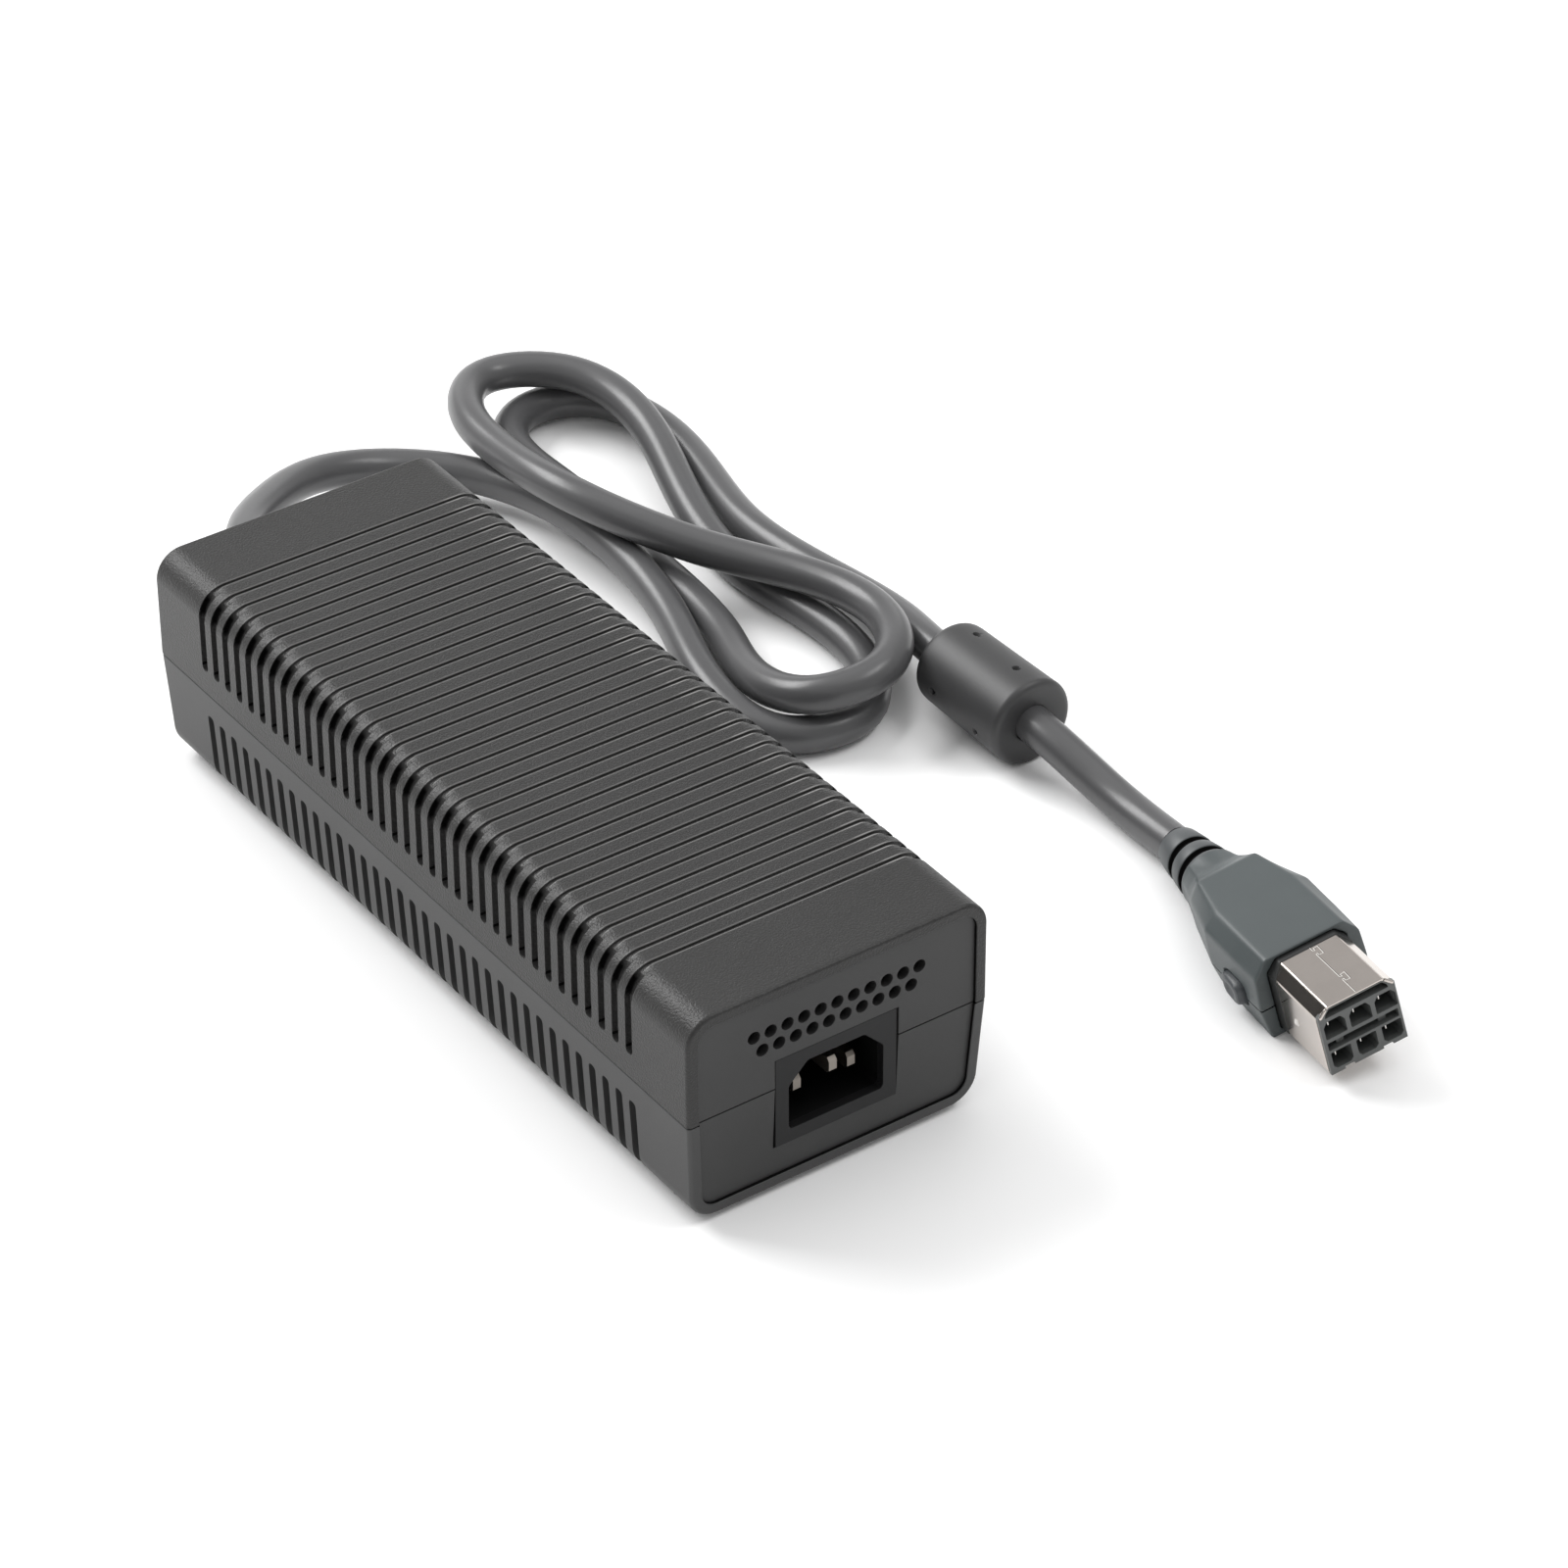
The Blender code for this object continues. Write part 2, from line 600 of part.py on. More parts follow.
def smooth_route(route_mm, count):
    """Points evenly along the smooth curve through the route, none lower than the lead's radius."""
    points = np.array(route_mm) * 0.001
    knots = np.concatenate([[0.0], np.cumsum(np.linalg.norm(np.diff(points, axis=0), axis=1))])
    bend = second_derivatives(knots, points)
    where = np.linspace(0.0, knots[-1], count)
    span = np.clip(np.searchsorted(knots, where, side="right") - 1, 0, len(knots) - 2)
    gap = (knots[span + 1] - knots[span])[:, None]
    b = (where - knots[span])[:, None] / gap
    a = 1 - b
    curve = a * points[span] + b * points[span + 1]
    curve += ((a**3 - a) * bend[span] + (b**3 - b) * bend[span + 1]) * gap**2 / 6
    curve[:, 2] = np.maximum(curve[:, 2], CORD_RADIUS + 0.0001)
    return curve


def make_cord():
    route = smooth_route(CORD_ROUTE_MM, CORD_POINTS)
    data = bpy.data.curves.new("lead", "CURVE")
    data.dimensions = "3D"
    data.bevel_depth = CORD_RADIUS
    data.bevel_resolution = 3
    data.use_fill_caps = True
    spline = data.splines.new("POLY")
    spline.points.add(len(route) - 1)
    for point, place_on_route in zip(spline.points, route):
        point.co = (*place_on_route, 1.0)
    obj = bpy.data.objects.new("lead", data)
    data.materials.append(CORD_JACKET)
    PART.objects.link(obj)


def make_sleeve():
    front, rear = SLEEVE_ENDS
    centre = (SLEEVE_X, SLEEVE_Z)
    big, small = SLEEVE_RADII
    lip = 0.0030
    shape = [(SLEEVE_BORE, front), (big - 0.0025, front)]
    shape += [(big - 0.0008, front + 0.0008), (big, front + 0.0025)]
    shape += [(small, rear - 0.0030), (small - 0.0009, rear - 0.0009)]
    shape += [(small - 0.0030, rear), (SLEEVE_BORE, rear)]
    shape += [(SLEEVE_BORE, rear - lip), (CORE_RADIUS + GAP, rear - lip)]
    shape += [(CORE_RADIUS + GAP, front + lip), (SLEEVE_BORE, front + lip)]
    core = [(SLEEVE_BORE, front + lip + GAP), (CORE_RADIUS, front + lip + GAP)]
    core += [(CORE_RADIUS, rear - lip - GAP), (SLEEVE_BORE, rear - lip - GAP)]
    solid("suppressor_sleeve", SLEEVE_PLASTIC, lambda bm: turned(bm, shape, centre, "Y", 24, bored=True))
    solid("suppressor_core", FERRITE, lambda bm: turned(bm, core, centre, "Y", 16, bored=True))


def shield_outline(grow=0.0):
    w, h = SHIELD_WIDTH / 2 + grow, SHIELD_HEIGHT / 2 + grow
    c = SHIELD_CHAMFER + grow * (2 - math.sqrt(2))
    return [(-w, -h), (w, -h), (w, h - c), (w - c, h), (c - w, h), (-w, h - c)]


def make_shield():
    def inside(bm):
        prism(bm, shield_outline(-SHIELD_WALL), -0.001, SHIELD_END + 0.001)

    def front_step(bm):
        box(bm, (-0.012, -0.001, -0.012), (0.012, FRAME_DEPTH, FRAME_TOP))

    def latch_windows(bm):
        centred_box(bm, (0, HOOK_Y, HOOK_Z), (0.030, 0.0052, 0.0046))

    shell = shield_outline()
    shield = solid("plug_shield", SHIELD_METAL, lambda bm: prism(bm, shell, 0, SHIELD_END), PLUG)
    boolean(shield, "inside", inside)
    boolean(shield, "front_step", front_step)
    boolean(shield, "latch_windows", latch_windows)


def socket_outline(x, low, high, up):
    w, c = SOCKET_WIDTH / 2, SOCKET_CHAMFER
    if up > 0:
        shape = [(-w, low), (w, low), (w, high - c), (w - c, high), (c - w, high), (-w, high - c)]
    else:
        shape = [(-w, high), (-w, low + c), (c - w, low), (w - c, low), (w, low + c), (w, high)]
    return [(x + a, b) for a, b in shape]


def make_contact_block():
    def frame(bm):
        w, h = SHIELD_WIDTH / 2, SHIELD_HEIGHT / 2
        outline = [(-w, -h), (w, -h), (w, FRAME_TOP - 0.0006), (w - 0.0006, FRAME_TOP - GAP)]
        outline += [(0.0006 - w, FRAME_TOP - GAP), (-w, FRAME_TOP - 0.0006)]
        prism(bm, outline, 0, FRAME_DEPTH - GAP)

    def front_body(bm):
        w, h = SHIELD_WIDTH / 2 - SHIELD_WALL - GAP, SHIELD_HEIGHT / 2 - SHIELD_WALL - GAP
        box(bm, (-w, 0.0005, -h), (w, SOCKET_DEPTH + 0.0010, FRAME_TOP - 0.0006))

    def rear_body(bm):
        box(bm, (-0.0065, SOCKET_DEPTH, -0.0078), (0.0065, BLOCK_END, 0.0060))

    def sockets(bm):
        for low, high, up in SOCKET_ROWS:
            for column in (-1, 0, 1):
                outline = socket_outline(column * SOCKET_PITCH, low, high, up)
                prism(bm, outline, -0.001, SOCKET_DEPTH)
        low, high = MIDDLE_SLOT
        box(bm, (-MIDDLE_SLOT_REACH, -0.001, low), (MIDDLE_SLOT_REACH, 0.0060, high))

    def notches(bm):
        for x in (-NOTCH_X, NOTCH_X):
            box(bm, (x - NOTCH_HALF_WIDTH, -0.001, -0.012), (x + NOTCH_HALF_WIDTH, FRAME_DEPTH, NOTCH_TOP))

    block = solid("contact_block", BLOCK_PLASTIC, frame, PLUG)
    boolean(block, "front_body", front_body, "UNION")
    boolean(block, "rear_body", rear_body, "UNION")
    boolean(block, "sockets", sockets)
    boolean(block, "notches", notches)
    number = 0
    for low, high, up in SOCKET_ROWS:
        for column in (-1, 0, 1):
            number += 1
            x = column * SOCKET_PITCH
            z = high - 0.0004 if up > 0 else high - 0.0003
            prong = [(0.0020, z - 0.0006), (0.0030, z - 0.0012), (SOCKET_DEPTH - GAP, z - 0.0012)]
            prong += [(SOCKET_DEPTH - GAP, z), (0.0020, z)]
            name = f"contact_{number}"
            solid(name, CONTACT_METAL, lambda bm: prism(bm, prong, x - 0.0003, x + 0.0003, "X"), PLUG)


# The grip's sections: how far back, then half-width and height of the top's edge, of the shoulder, of the
# widest place (where the two halves meet) and of the underside's edge. The last one is at the round neck.
GRIP_STATIONS = [
    (GRIP_FRONT, (0.0099, 0.0102), (0.0133, 0.0060), (0.0138, GRIP_SPLIT), (0.0124, -0.0103)),
    (0.0330, (0.0098, 0.0102), (0.0133, 0.0065), (0.0139, GRIP_SPLIT), (0.0126, -0.0092)),
    (0.0465, (0.0097, 0.0102), (0.0133, 0.0070), (0.0136, GRIP_SPLIT), (0.0122, -0.0078)),
    (0.0530, (0.0083, 0.0102), (0.0117, 0.0066), (0.0120, -0.0020), (0.0104, -0.0073)),
    (0.0590, (0.0060, 0.0098), (0.0092, 0.0056), (0.0098, -0.0012), (0.0076, -0.0067)),
    (0.0640, (0.0044, 0.0080), (0.0074, 0.0042), (0.0082, -0.0005), (0.0058, -0.0062)),
    (0.0686, (0.0036, 0.0062), (0.0063, 0.0034), (0.0072, 0.0000), (0.0046, -0.0055)),
]


def grip_ring(y, corners_at, upper):
    """Half of the grip's outline at one station, above or below the split."""
    shift = Vector((0.0, GAP / 2 if upper else -GAP / 2))
    widest = Vector(corners_at[2]) + shift
    used = list(corners_at[:2]) + [widest] if upper else [widest, corners_at[3]]
    mirrored = [(-x, z) for x, z in reversed(used)]
    return [Vector((x, y, z)) for x, z in used + mirrored]


def make_grip():
    def mouth(bm):
        prism(bm, shield_outline(GRIP_MOUTH), GRIP_FRONT - 0.001, SHIELD_END + 0.0010)

    def arm_room(bm):
        reach = ARM_X + 0.0005
        box(bm, (-reach, SHIELD_END, HOOK_Z - 0.0035), (reach, GRIP_POCKET_END, HOOK_Z + 0.0035))

    def button_windows(bm):
        size = (0.040, BUTTON_LENGTH + 2 * GAP, BUTTON_HEIGHT + 2 * GAP)
        centred_box(bm, (0, BUTTON_Y, GRIP_SPLIT), size)

    for name, upper in (("plug_grip_upper", True), ("plug_grip_lower", False)):
        rings = [grip_ring(y, corners_at, upper) for y, *corners_at in GRIP_STATIONS]
        grip = solid(name, GRIP_PLASTIC, lambda bm: loft(bm, rings), PLUG)
        boolean(grip, "mouth", mouth)
        boolean(grip, "arm_room", arm_room)
        boolean(grip, "button_windows", button_windows)


def make_boot():
    def radius_at(y):
        part = (y - BOOT_START) / (BOOT_END - BOOT_START)
        return BOOT_RADII[0] + (BOOT_RADII[1] - BOOT_RADII[0]) * part

    profile = [(radius_at(BOOT_START), BOOT_START)]
    for start in BOOT_GROOVES:
        stop = start + BOOT_GROOVE_WIDTH
        root = radius_at(stop) - BOOT_GROOVE_DEPTH
        profile += [(radius_at(start), start), (root, start + 0.0002)]
        profile += [(root, stop - 0.0002), (radius_at(stop), stop)]
    profile += [(radius_at(BOOT_END - 0.0006), BOOT_END - 0.0006), (BOOT_RADII[1] - 0.0003, BOOT_END)]
    solid("plug_boot", CORD_JACKET, lambda bm: turned(bm, profile, (0, 0), "Y", 18), PLUG)


def make_latches():
    """Each side button slides in and swings its latch arm, whose hook stands out of the shield."""
    for name, side in (("left", -1), ("right", 1)):
        arm_outer = side * (ARM_X + ARM_THICKNESS / 2)
        arm_inner = side * (ARM_X - ARM_THICKNESS / 2)
        pivot = Matrix.Translation((side * ARM_X, ARM_PIVOT_Y, HOOK_Z))
        hook = [(arm_inner, ARM_FRONT), (arm_outer, ARM_FRONT), (arm_outer, HOOK_Y - 0.0016)]
        hook += [(side * HOOK_REACH, HOOK_Y + 0.0008), (side * HOOK_REACH, HOOK_Y + 0.0016)]
        hook += [(arm_outer, HOOK_Y + 0.0016)]
        hook += [(arm_outer, ARM_PIVOT_Y), (arm_inner, ARM_PIVOT_Y)]
        local = [(x - side * ARM_X, y - ARM_PIVOT_Y) for x, y in hook]
        at = PLUG @ pivot
        solid(f"latch_arm_{name}", SHIELD_METAL, lambda bm: prism(bm, local, -0.0018, 0.0018, "Z"), at)

        seat = Matrix.Translation((side * (ARM_X + 0.0012), BUTTON_Y, GRIP_SPLIT))
        inner = arm_outer + side * GAP - side * (ARM_X + 0.0012)
        outer = side * BUTTON_PROUD - side * (ARM_X + 0.0012)
        long, tall = BUTTON_LENGTH / 2, BUTTON_HEIGHT / 2
        bm = bmesh.new()
        rings = []
        for x, shrink in ((inner, 1.0), (outer - side * 0.0010, 1.0), (outer, 0.78)):
            rings.append([Vector((x, long * shrink * math.cos(2 * math.pi * i / 16),
                                  tall * shrink * math.sin(2 * math.pi * i / 16))) for i in range(16)])
        loft(bm, rings)
        finish(f"latch_button_{name}", bm, GRIP_PLASTIC, PART, PLUG @ seat)


clear_scene()
PART = collection("power_brick")
CUTTERS = collection("power_brick_cutters", helper=True)
PLUG = (Matrix.Translation(PLUG_ORIGIN) @ Matrix.Rotation(PLUG_YAW, 4, "Z")
        @ Matrix.Rotation(PLUG_PITCH, 4, "X") @ Matrix.Rotation(PLUG_ROLL, 4, "Y"))

CASE_PLASTIC = material("case_plastic", (0.060, 0.060, 0.058), 0.62)
INLET_PLASTIC = material("inlet_plastic", (0.022, 0.022, 0.022), 0.55)
PIN_METAL = material("pin_metal", (0.78, 0.75, 0.70), 0.25, 1.0)
RUBBER = material("foot_rubber", (0.020, 0.020, 0.020), 0.85)
SCREW_STEEL = material("screw_steel", (0.40, 0.40, 0.42), 0.35, 1.0)
BOARD_EPOXY = material("board_epoxy", (0.05, 0.20, 0.07), 0.50)
CAPACITOR_SLEEVE = material("capacitor_sleeve", (0.02, 0.03, 0.06), 0.35)
FERRITE = material("ferrite", (0.05, 0.05, 0.055), 0.70)
COPPER = material("winding_tape", (0.65, 0.45, 0.08), 0.40)
FILM_YELLOW = material("film_capacitor", (0.75, 0.55, 0.05), 0.40)
FUSE_CERAMIC = material("fuse_ceramic", (0.80, 0.78, 0.72), 0.50)
ALUMINIUM = material("heat_sink_aluminium", (0.70, 0.71, 0.72), 0.35, 1.0)
MOULD_BLACK = material("device_mould", (0.02, 0.02, 0.02), 0.45)
FAN_PLASTIC = material("fan_plastic", (0.03, 0.03, 0.03), 0.45)
CORD_JACKET = material("lead_jacket", (0.095, 0.095, 0.100), 0.42)
SLEEVE_PLASTIC = material("sleeve_plastic", (0.090, 0.090, 0.092), 0.55)
SHIELD_METAL = material("shield_nickel", (0.62, 0.58, 0.54), 0.25, 1.0)
BLOCK_PLASTIC = material("block_plastic", (0.080, 0.080, 0.080), 0.50)
CONTACT_METAL = material("contact_metal", (0.75, 0.73, 0.70), 0.25, 1.0)
GRIP_PLASTIC = material("grip_plastic", (0.100, 0.115, 0.120), 0.55)

make_upper_shell()
make_lower_shell()
make_feet_and_screws()
make_inlet()
make_board_and_parts()
make_fan()
make_gland()
make_cord()
make_sleeve()
make_shield()
make_contact_block()
make_grip()
make_boot()
make_latches()
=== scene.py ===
"""Visual model of a ribbed power brick, its thick output lead, suppressor sleeve and six-way latching plug.

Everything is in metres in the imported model's frame: the brick stands at z = 0 with its mains inlet at -Y.
"""

import json
import math

import bmesh
import bpy
import numpy as np
from mathutils import Matrix, Vector


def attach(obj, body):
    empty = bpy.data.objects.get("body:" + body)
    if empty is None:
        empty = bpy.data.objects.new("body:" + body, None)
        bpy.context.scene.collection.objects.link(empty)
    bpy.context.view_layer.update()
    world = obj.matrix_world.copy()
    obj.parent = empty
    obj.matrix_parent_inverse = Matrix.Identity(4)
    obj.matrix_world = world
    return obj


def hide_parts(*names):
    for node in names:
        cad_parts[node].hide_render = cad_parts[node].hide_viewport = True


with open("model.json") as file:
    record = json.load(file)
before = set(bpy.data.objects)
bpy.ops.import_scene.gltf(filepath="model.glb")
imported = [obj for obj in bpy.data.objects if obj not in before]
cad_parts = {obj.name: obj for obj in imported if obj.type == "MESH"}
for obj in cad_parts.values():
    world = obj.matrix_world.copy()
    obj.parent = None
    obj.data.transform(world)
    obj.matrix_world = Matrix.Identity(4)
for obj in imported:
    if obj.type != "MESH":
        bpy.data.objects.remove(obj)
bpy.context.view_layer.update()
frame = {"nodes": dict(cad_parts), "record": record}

MM = 0.001

WORLD_LIGHT = 0.62

# Camera
CAMERA_PLACE = Vector((-0.56225, -0.88736, 0.79022))
CAMERA_LOOK = Vector((0.46738, 0.66469, -0.58287))
CAMERA_ROLL = math.radians(-0.22)
CAMERA_LENS = 134.1

# Case, in millimetres
HALF_WIDTH = 38.55
HALF_LENGTH = 107.6
TOP = 55.6
BOTTOM = 1.5
PARTING = 28.4
SEAM = 0.15
CORNER = 7.0
DRAFT = math.tan(math.radians(3.0))
EDGE_ROUND = 0.9
RIM = 2.9
PANEL_DEPTH = 0.8
PANEL_THICKNESS = 2.4
GROOVES = [-86.03 + 5.081 * i for i in range(35)]
GROOVE_END = 34.9
SLOT_TOP = 21.9
SLOT_INNER = 27.0
# A groove's half-width, depth and squareness at six steps round the corner, from the side to the flat top
GROOVE_HALF_WIDTHS = (1.22, 1.32, 1.38, 1.38, 1.30, 1.22, 1.16)
GROOVE_DEPTHS = (1.45, 1.45, 1.45, 1.35, 0.62, 0.48, 0.42)
GROOVE_POWERS = (9.0, 9.0, 9.0, 8.0, 7.0, 5.5, 5.0)
# On the flat top a groove is a shallow ramp down to an upright far wall: the offsets and parts of its depth
RAMP = ((-0.50, -0.20, 0.12, 0.40, 0.70, 0.96, 1.09, 1.16, 1.28),
        (0.0, 0.03, 0.13, 0.34, 0.70, 1.0, 1.0, 0.12, 0.0))
# The parts of the way round the corner over which the groove turns into that ramp
RAMP_ZONES = (0.62, 0.92)
# Painted shade, near black, on each groove's far wall: where round the corner it starts and fades, where it
# ends at once on the right side, and the wall's place
WALL_SHADE_START = (0.02, 0.14)
WALL_SHADE_FADE = (0.66, 0.50)
WALL_SHADE_FAR_SIDE = 0.45
WALL_SHADE_SPAN = (-0.75, -0.40)
# How much painted highlight and smoothness the case has at these offsets: a line where the ramp starts, one
# past its wall
GLINT = ((-0.13, 0.0, 0.12, 0.20, 0.30, 0.41, 1.30, 1.40, 1.50, 1.75),
         (0.0, 0.6, 1.0, 0.9, 0.5, 0.0, 0.0, 0.8, 0.8, 0.0))
# How strong those painted highlight lines are, and the place, length and extra strength of their bright right
# end
GLINT_LEVEL = 0.6
GLINT_END = (30.4, 2.0, 2.6)
# The small hole at the lower end of each groove, painted inside with shade
HOLE_Z = (35.75, 36.95)
HOLE_EXTRA = 0.7
# The lower shell's slots: their half-width, depth and squareness, and how far that shell is set in
LOWER_SLOT = (1.25, 1.8, 9.0)
SHELL_STEP = 0.12
# The outline's heights round the ends of the grooves and slots, and its points over the flat faces
UPPER_ENDS_Z = (34.3, 34.7, 34.9, 35.0, 35.15, 35.35, 35.6, 35.9, 36.2, 36.6, 37.2, 40.0)
LOWER_ENDS_Z = (22.3, 21.98, 21.9, 21.8, 21.65, 21.45, 21.2, 20.9, 20.6, 20.2, 19.6, 16.5)
UPPER_FACE_PARTS = (0.03, 0.07, 0.13, 0.20, 1.0)
LOWER_FACE_PARTS = (0.04, 0.10, 0.16, 0.22, 0.28, 0.5, 0.75, 1.0)
CORNER_STEPS = 18
# Rows across a groove or a slot, by their distance from its middle
GROOVE_OFFSETS = (0.12, 0.20, 0.30, 0.40, 0.50, 0.60, 0.70, 0.84, 0.96, 1.09,
                  1.16, 1.22, 1.28, 1.34, 1.39, 1.46, 1.75)
SLOT_OFFSETS = (0.60, 0.92, 1.05, 1.14, 1.20, 1.25, 1.32)
# The vents in both ends: how many in each row and the row's height above the seam
VENT_ROWS = ((11, 15.93), (10, 11.86))
VENT_PITCH = 4.24
VENT_RADIUS = 1.55

# Inlet: half-widths and half-heights in mm, and the cut of the cavity's upper corners
INLET_Z = 23.9
INLET_FACE = 106.5
BEZEL = (15.65, 11.6)
BEZEL_GAP = 0.3
CAVITY = (12.2, 8.2, 4.9)
INLET_BODY = (14.0, 10.0)

# Strain relief, in millimetres
GLAND_HOLE = 6.5
GLAND_ROOT = 5.5

# Lead
CORD_RADIUS = 0.0046
CORD_ROUTE_MM = [
    (0, 123.5, 28.4), (0.5, 131.5, 28), (20, 158.5, 20.5), (45.5, 171.5, 13.5), (72, 163.5, 8.5),
    (87.5, 113, 9.5), (82, 74.5, 8), (74, 46, 7), (78.5, 25, 5), (97, 20, 5),
    (109.5, 32.5, 5), (113.5, 59, 5), (111, 92.5, 5), (117.5, 125.5, 8.5), (124, 153, 12),
    (118, 175, 14.5), (99, 184.5, 15), (85, 169, 16.5), (82, 151, 17.5), (82.5, 120, 20.5),
    (101, 86, 15), (114.5, 61, 15), (117, 37, 16), (100.5, 18, 17), (87.5, 21, 15),
    (84, 47, 8.5), (89.5, 64, 6.5), (94.5, 104, 5), (95.5, 144, 5), (97, 169, 6),
    (109, 178.5, 5), (121, 176, 5), (131, 145.5, 5), (123.5, 105, 5), (125.5, 40, 9.5),
    (123.2, 26, 11.2), (123.2, 4, 11.2), (123.2, -17, 11.2), (125.5, -41, 6), (125, -64.5, 6.3),
]

# Suppressor sleeve, and the places of its pin holes: (y in mm, angle in degrees round its axis)
SLEEVE_AXIS = (123.2, 11.2)
SLEEVE_ENDS = (-13.0, 20.0)
SLEEVE_RADII = (11.2, 10.5)
PIN_HOLES = ((12.1, 77), (-5.1, 85), (12.1, 183), (-5.1, 193))
PIN_HOLE_RADIUS = 0.9
PIN_HOLE_DEPTH = 0.9

# Plug, in millimetres in its own frame: the origin is the middle of the mouth, y runs back and z up
PLUG = (Matrix.Translation((0.1094, -0.1483, 0.0151)) @ Matrix.Rotation(math.radians(-10.6), 4, "Z")
        @ Matrix.Rotation(math.radians(-5.9), 4, "X") @ Matrix.Rotation(math.radians(-13.0), 4, "Y"))
# The shield's half-width, half-height and the cut of its upper corners, and its sheet's thickness
SHIELD = (9.75, 8.95, 2.7)
SHEET = 0.45
# The lip's lower edge, and how far back the mouth is set below it
LIP = 6.8
LIP_STEP = 0.25
LIP_SETBACK = 1.3
LIP_SETBACK_HALFWAY = 0.6
HEM_RADIUS = 0.42
HEM_INSET = 0.25
# The seam's line along the shield's top in (x, y), with its two tabs
SEAM_PATH = [
    (0.3, 0.2), (0.3, 5.9), (0.8, 6.0), (0.7, 5.2), (1.8, 5.0), (1.9, 7.9),
    (0.8, 7.7), (0.9, 6.9), (0.3, 7.0), (0.3, 17.5), (0.8, 17.6), (0.7, 16.9),
    (1.8, 16.8), (1.9, 19.8), (0.8, 19.7), (0.9, 18.8), (0.3, 18.9), (0.3, 20.4),
]
# How far back the collar's front, its top's front and its back are
COLLAR = (18.9, 20.3, 24.5)
SOCKET_PITCH = 6.35
SOCKET_SHIFT = 0.2
SOCKET_TOP_ROW = (0.5, 5.0)
SOCKET_LOW_ROW = (-7.7, -3.3)
SLOT_POST_X = 5.3
NOTCH_X = 4.85
NOTCH_HALF_WIDTH = 1.25
NOTCH_HEIGHT = 0.62
BLADE_SHIFT = -1.0
BLADE_HALF = 0.14
BLADE_HEIGHT = 1.5
SPLIT = -2.4
SPLIT_GAP = 0.16
SPLIT_TUCK = 1.6
GRIP_MIDDLE = np.array([0.0, SPLIT])
GRIP_FRONT = 22.0
GRIP_BACK = 68.6
GRIP_ROUND = 0.45
GRIP_SHARPNESS = 80.0
# Directions in which one quarter of the grip's skin is found, close together round the button
GRIP_ANGLES = np.radians(np.concatenate([np.linspace(0.6, 24.0, 40), np.linspace(25.5, 90.0, 34)]))
# Where the round neck starts, its radius and how softly the facets run into it
NECK = (57.0, 7.45, 0.25)
# How far back, then half-width and height of the top's edge, the shoulder, the widest place and the low edge
GRIP_STATIONS = [
    (22.0, (9.9, 10.2), (13.3, 6.0), (13.8, SPLIT), (12.5, -10.5)),
    (33.0, (9.8, 10.2), (13.4, 6.5), (13.9, SPLIT), (12.7, -9.3)),
    (45.0, (9.6, 10.2), (13.35, 7.0), (13.7, SPLIT), (12.4, -8.0)),
    (57.5, (7.5, 10.1), (10.2, 6.0), (10.5, -1.5), (8.9, -7.1)),
    (60.5, (6.4, 8.4), (9.2, 5.1), (9.5, -1.2), (7.9, -6.8)),
    (63.5, (5.2, 7.2), (8.3, 4.3), (8.6, -0.9), (6.6, -6.4)),
    (68.6, (4.4, 6.4), (6.9, 3.2), (7.1, -0.2), (4.8, -5.6)),
]
# The button's middle in y and z, half-length, half-height and how far out it stands
BUTTON = (33.3, -1.9, 4.5, 3.1, 15.4)
BUTTON_SQUARENESS = 3.2
BUTTON_LEAN = 0.27
# How far below its highest place and how wide the button is, from its column into the dimple
BUTTON_PROFILE = ((5.8, 1.0), (1.3, 1.0), (0.9, 0.99), (0.55, 0.95), (0.25, 0.88), (0.08, 0.80),
                  (0.0, 0.70), (0.02, 0.55), (0.22, 0.44), (0.42, 0.30), (0.48, 0.12), (0.48, 0.0))
WELL_GAP = 0.35
WELL_DEPTH = 2.2
# The arm's inner and outer side, low and high edge; the hook's y and z, half-sizes and height
ARM = (8.5, 9.0, -4.6, -0.2)
HOOK = (12.5, -1.55, 1.25, 1.15, 1.25)
# The boot's ends, as (y, radius), and its two grooves
BOOT_ENDS = ((68.6, 7.35), (84.6, 5.35))
BOOT_GROOVES = (71.0, 77.2)
BOOT_GROOVE_HALF = 1.15


# ---- materials

POLISHED = 0.12
# Painted highlight: the lighter colour laid along the grooves' edges
GLINT_COLOUR = (0.185, 0.182, 0.178, 1.0)
# Painted shade: the near black laid on the grooves' far walls
WALL_SHADE_COLOUR = (0.0015, 0.0015, 0.0015, 1.0)
MOTTLE_SCALE = 45.0
TARNISH_SCALE = 120.0
FULL_TURN = np.linspace(0, 2 * math.pi, 72, endpoint=False)
UPRIGHT = Matrix.Rotation(math.radians(90), 4, "X")


def with_settings(thing, **settings):
    for name, value in settings.items():
        setattr(thing, name, value)
    return thing


def shader_nodes(name):
    made = bpy.data.materials.new(name)
    made.use_nodes = True
    return made, made.node_tree, made.node_tree.nodes["Principled BSDF"]


def node(tree, kind, inputs, **settings):
    """A node with these settings, its inputs linked to the sockets or set to the values given."""
    made = with_settings(tree.nodes.new(kind), **settings)
    for name, value in inputs.items():
        if isinstance(value, bpy.types.NodeSocket):
            tree.links.new(value, made.inputs[name])
        else:
            made.inputs[name].default_value = value
    return made


def noise(tree, where, scale, detail):
    inputs = {"Scale": scale, "Detail": detail, "Vector": where}
    return node(tree, "ShaderNodeTexNoise", inputs).outputs["Fac"]


def spread(tree, value, low, high):
    """The value, which runs from 0 to 1, made to run from low to high."""
    return node(tree, "ShaderNodeMapRange", {"To Min": low, "To Max": high, "Value": value}).outputs["Result"]


def two_tones(tree, value, start, end, first, second):
    """The first colour where the value is up to start, turning into the second by end."""
    ramp = node(tree, "ShaderNodeValToRGB", {"Fac": value})
    for element, position, colour in zip(ramp.color_ramp.elements, (start, end), (first, second)):
        element.position = position
        element.color = (*colour, 1.0)
    return ramp.outputs["Color"]


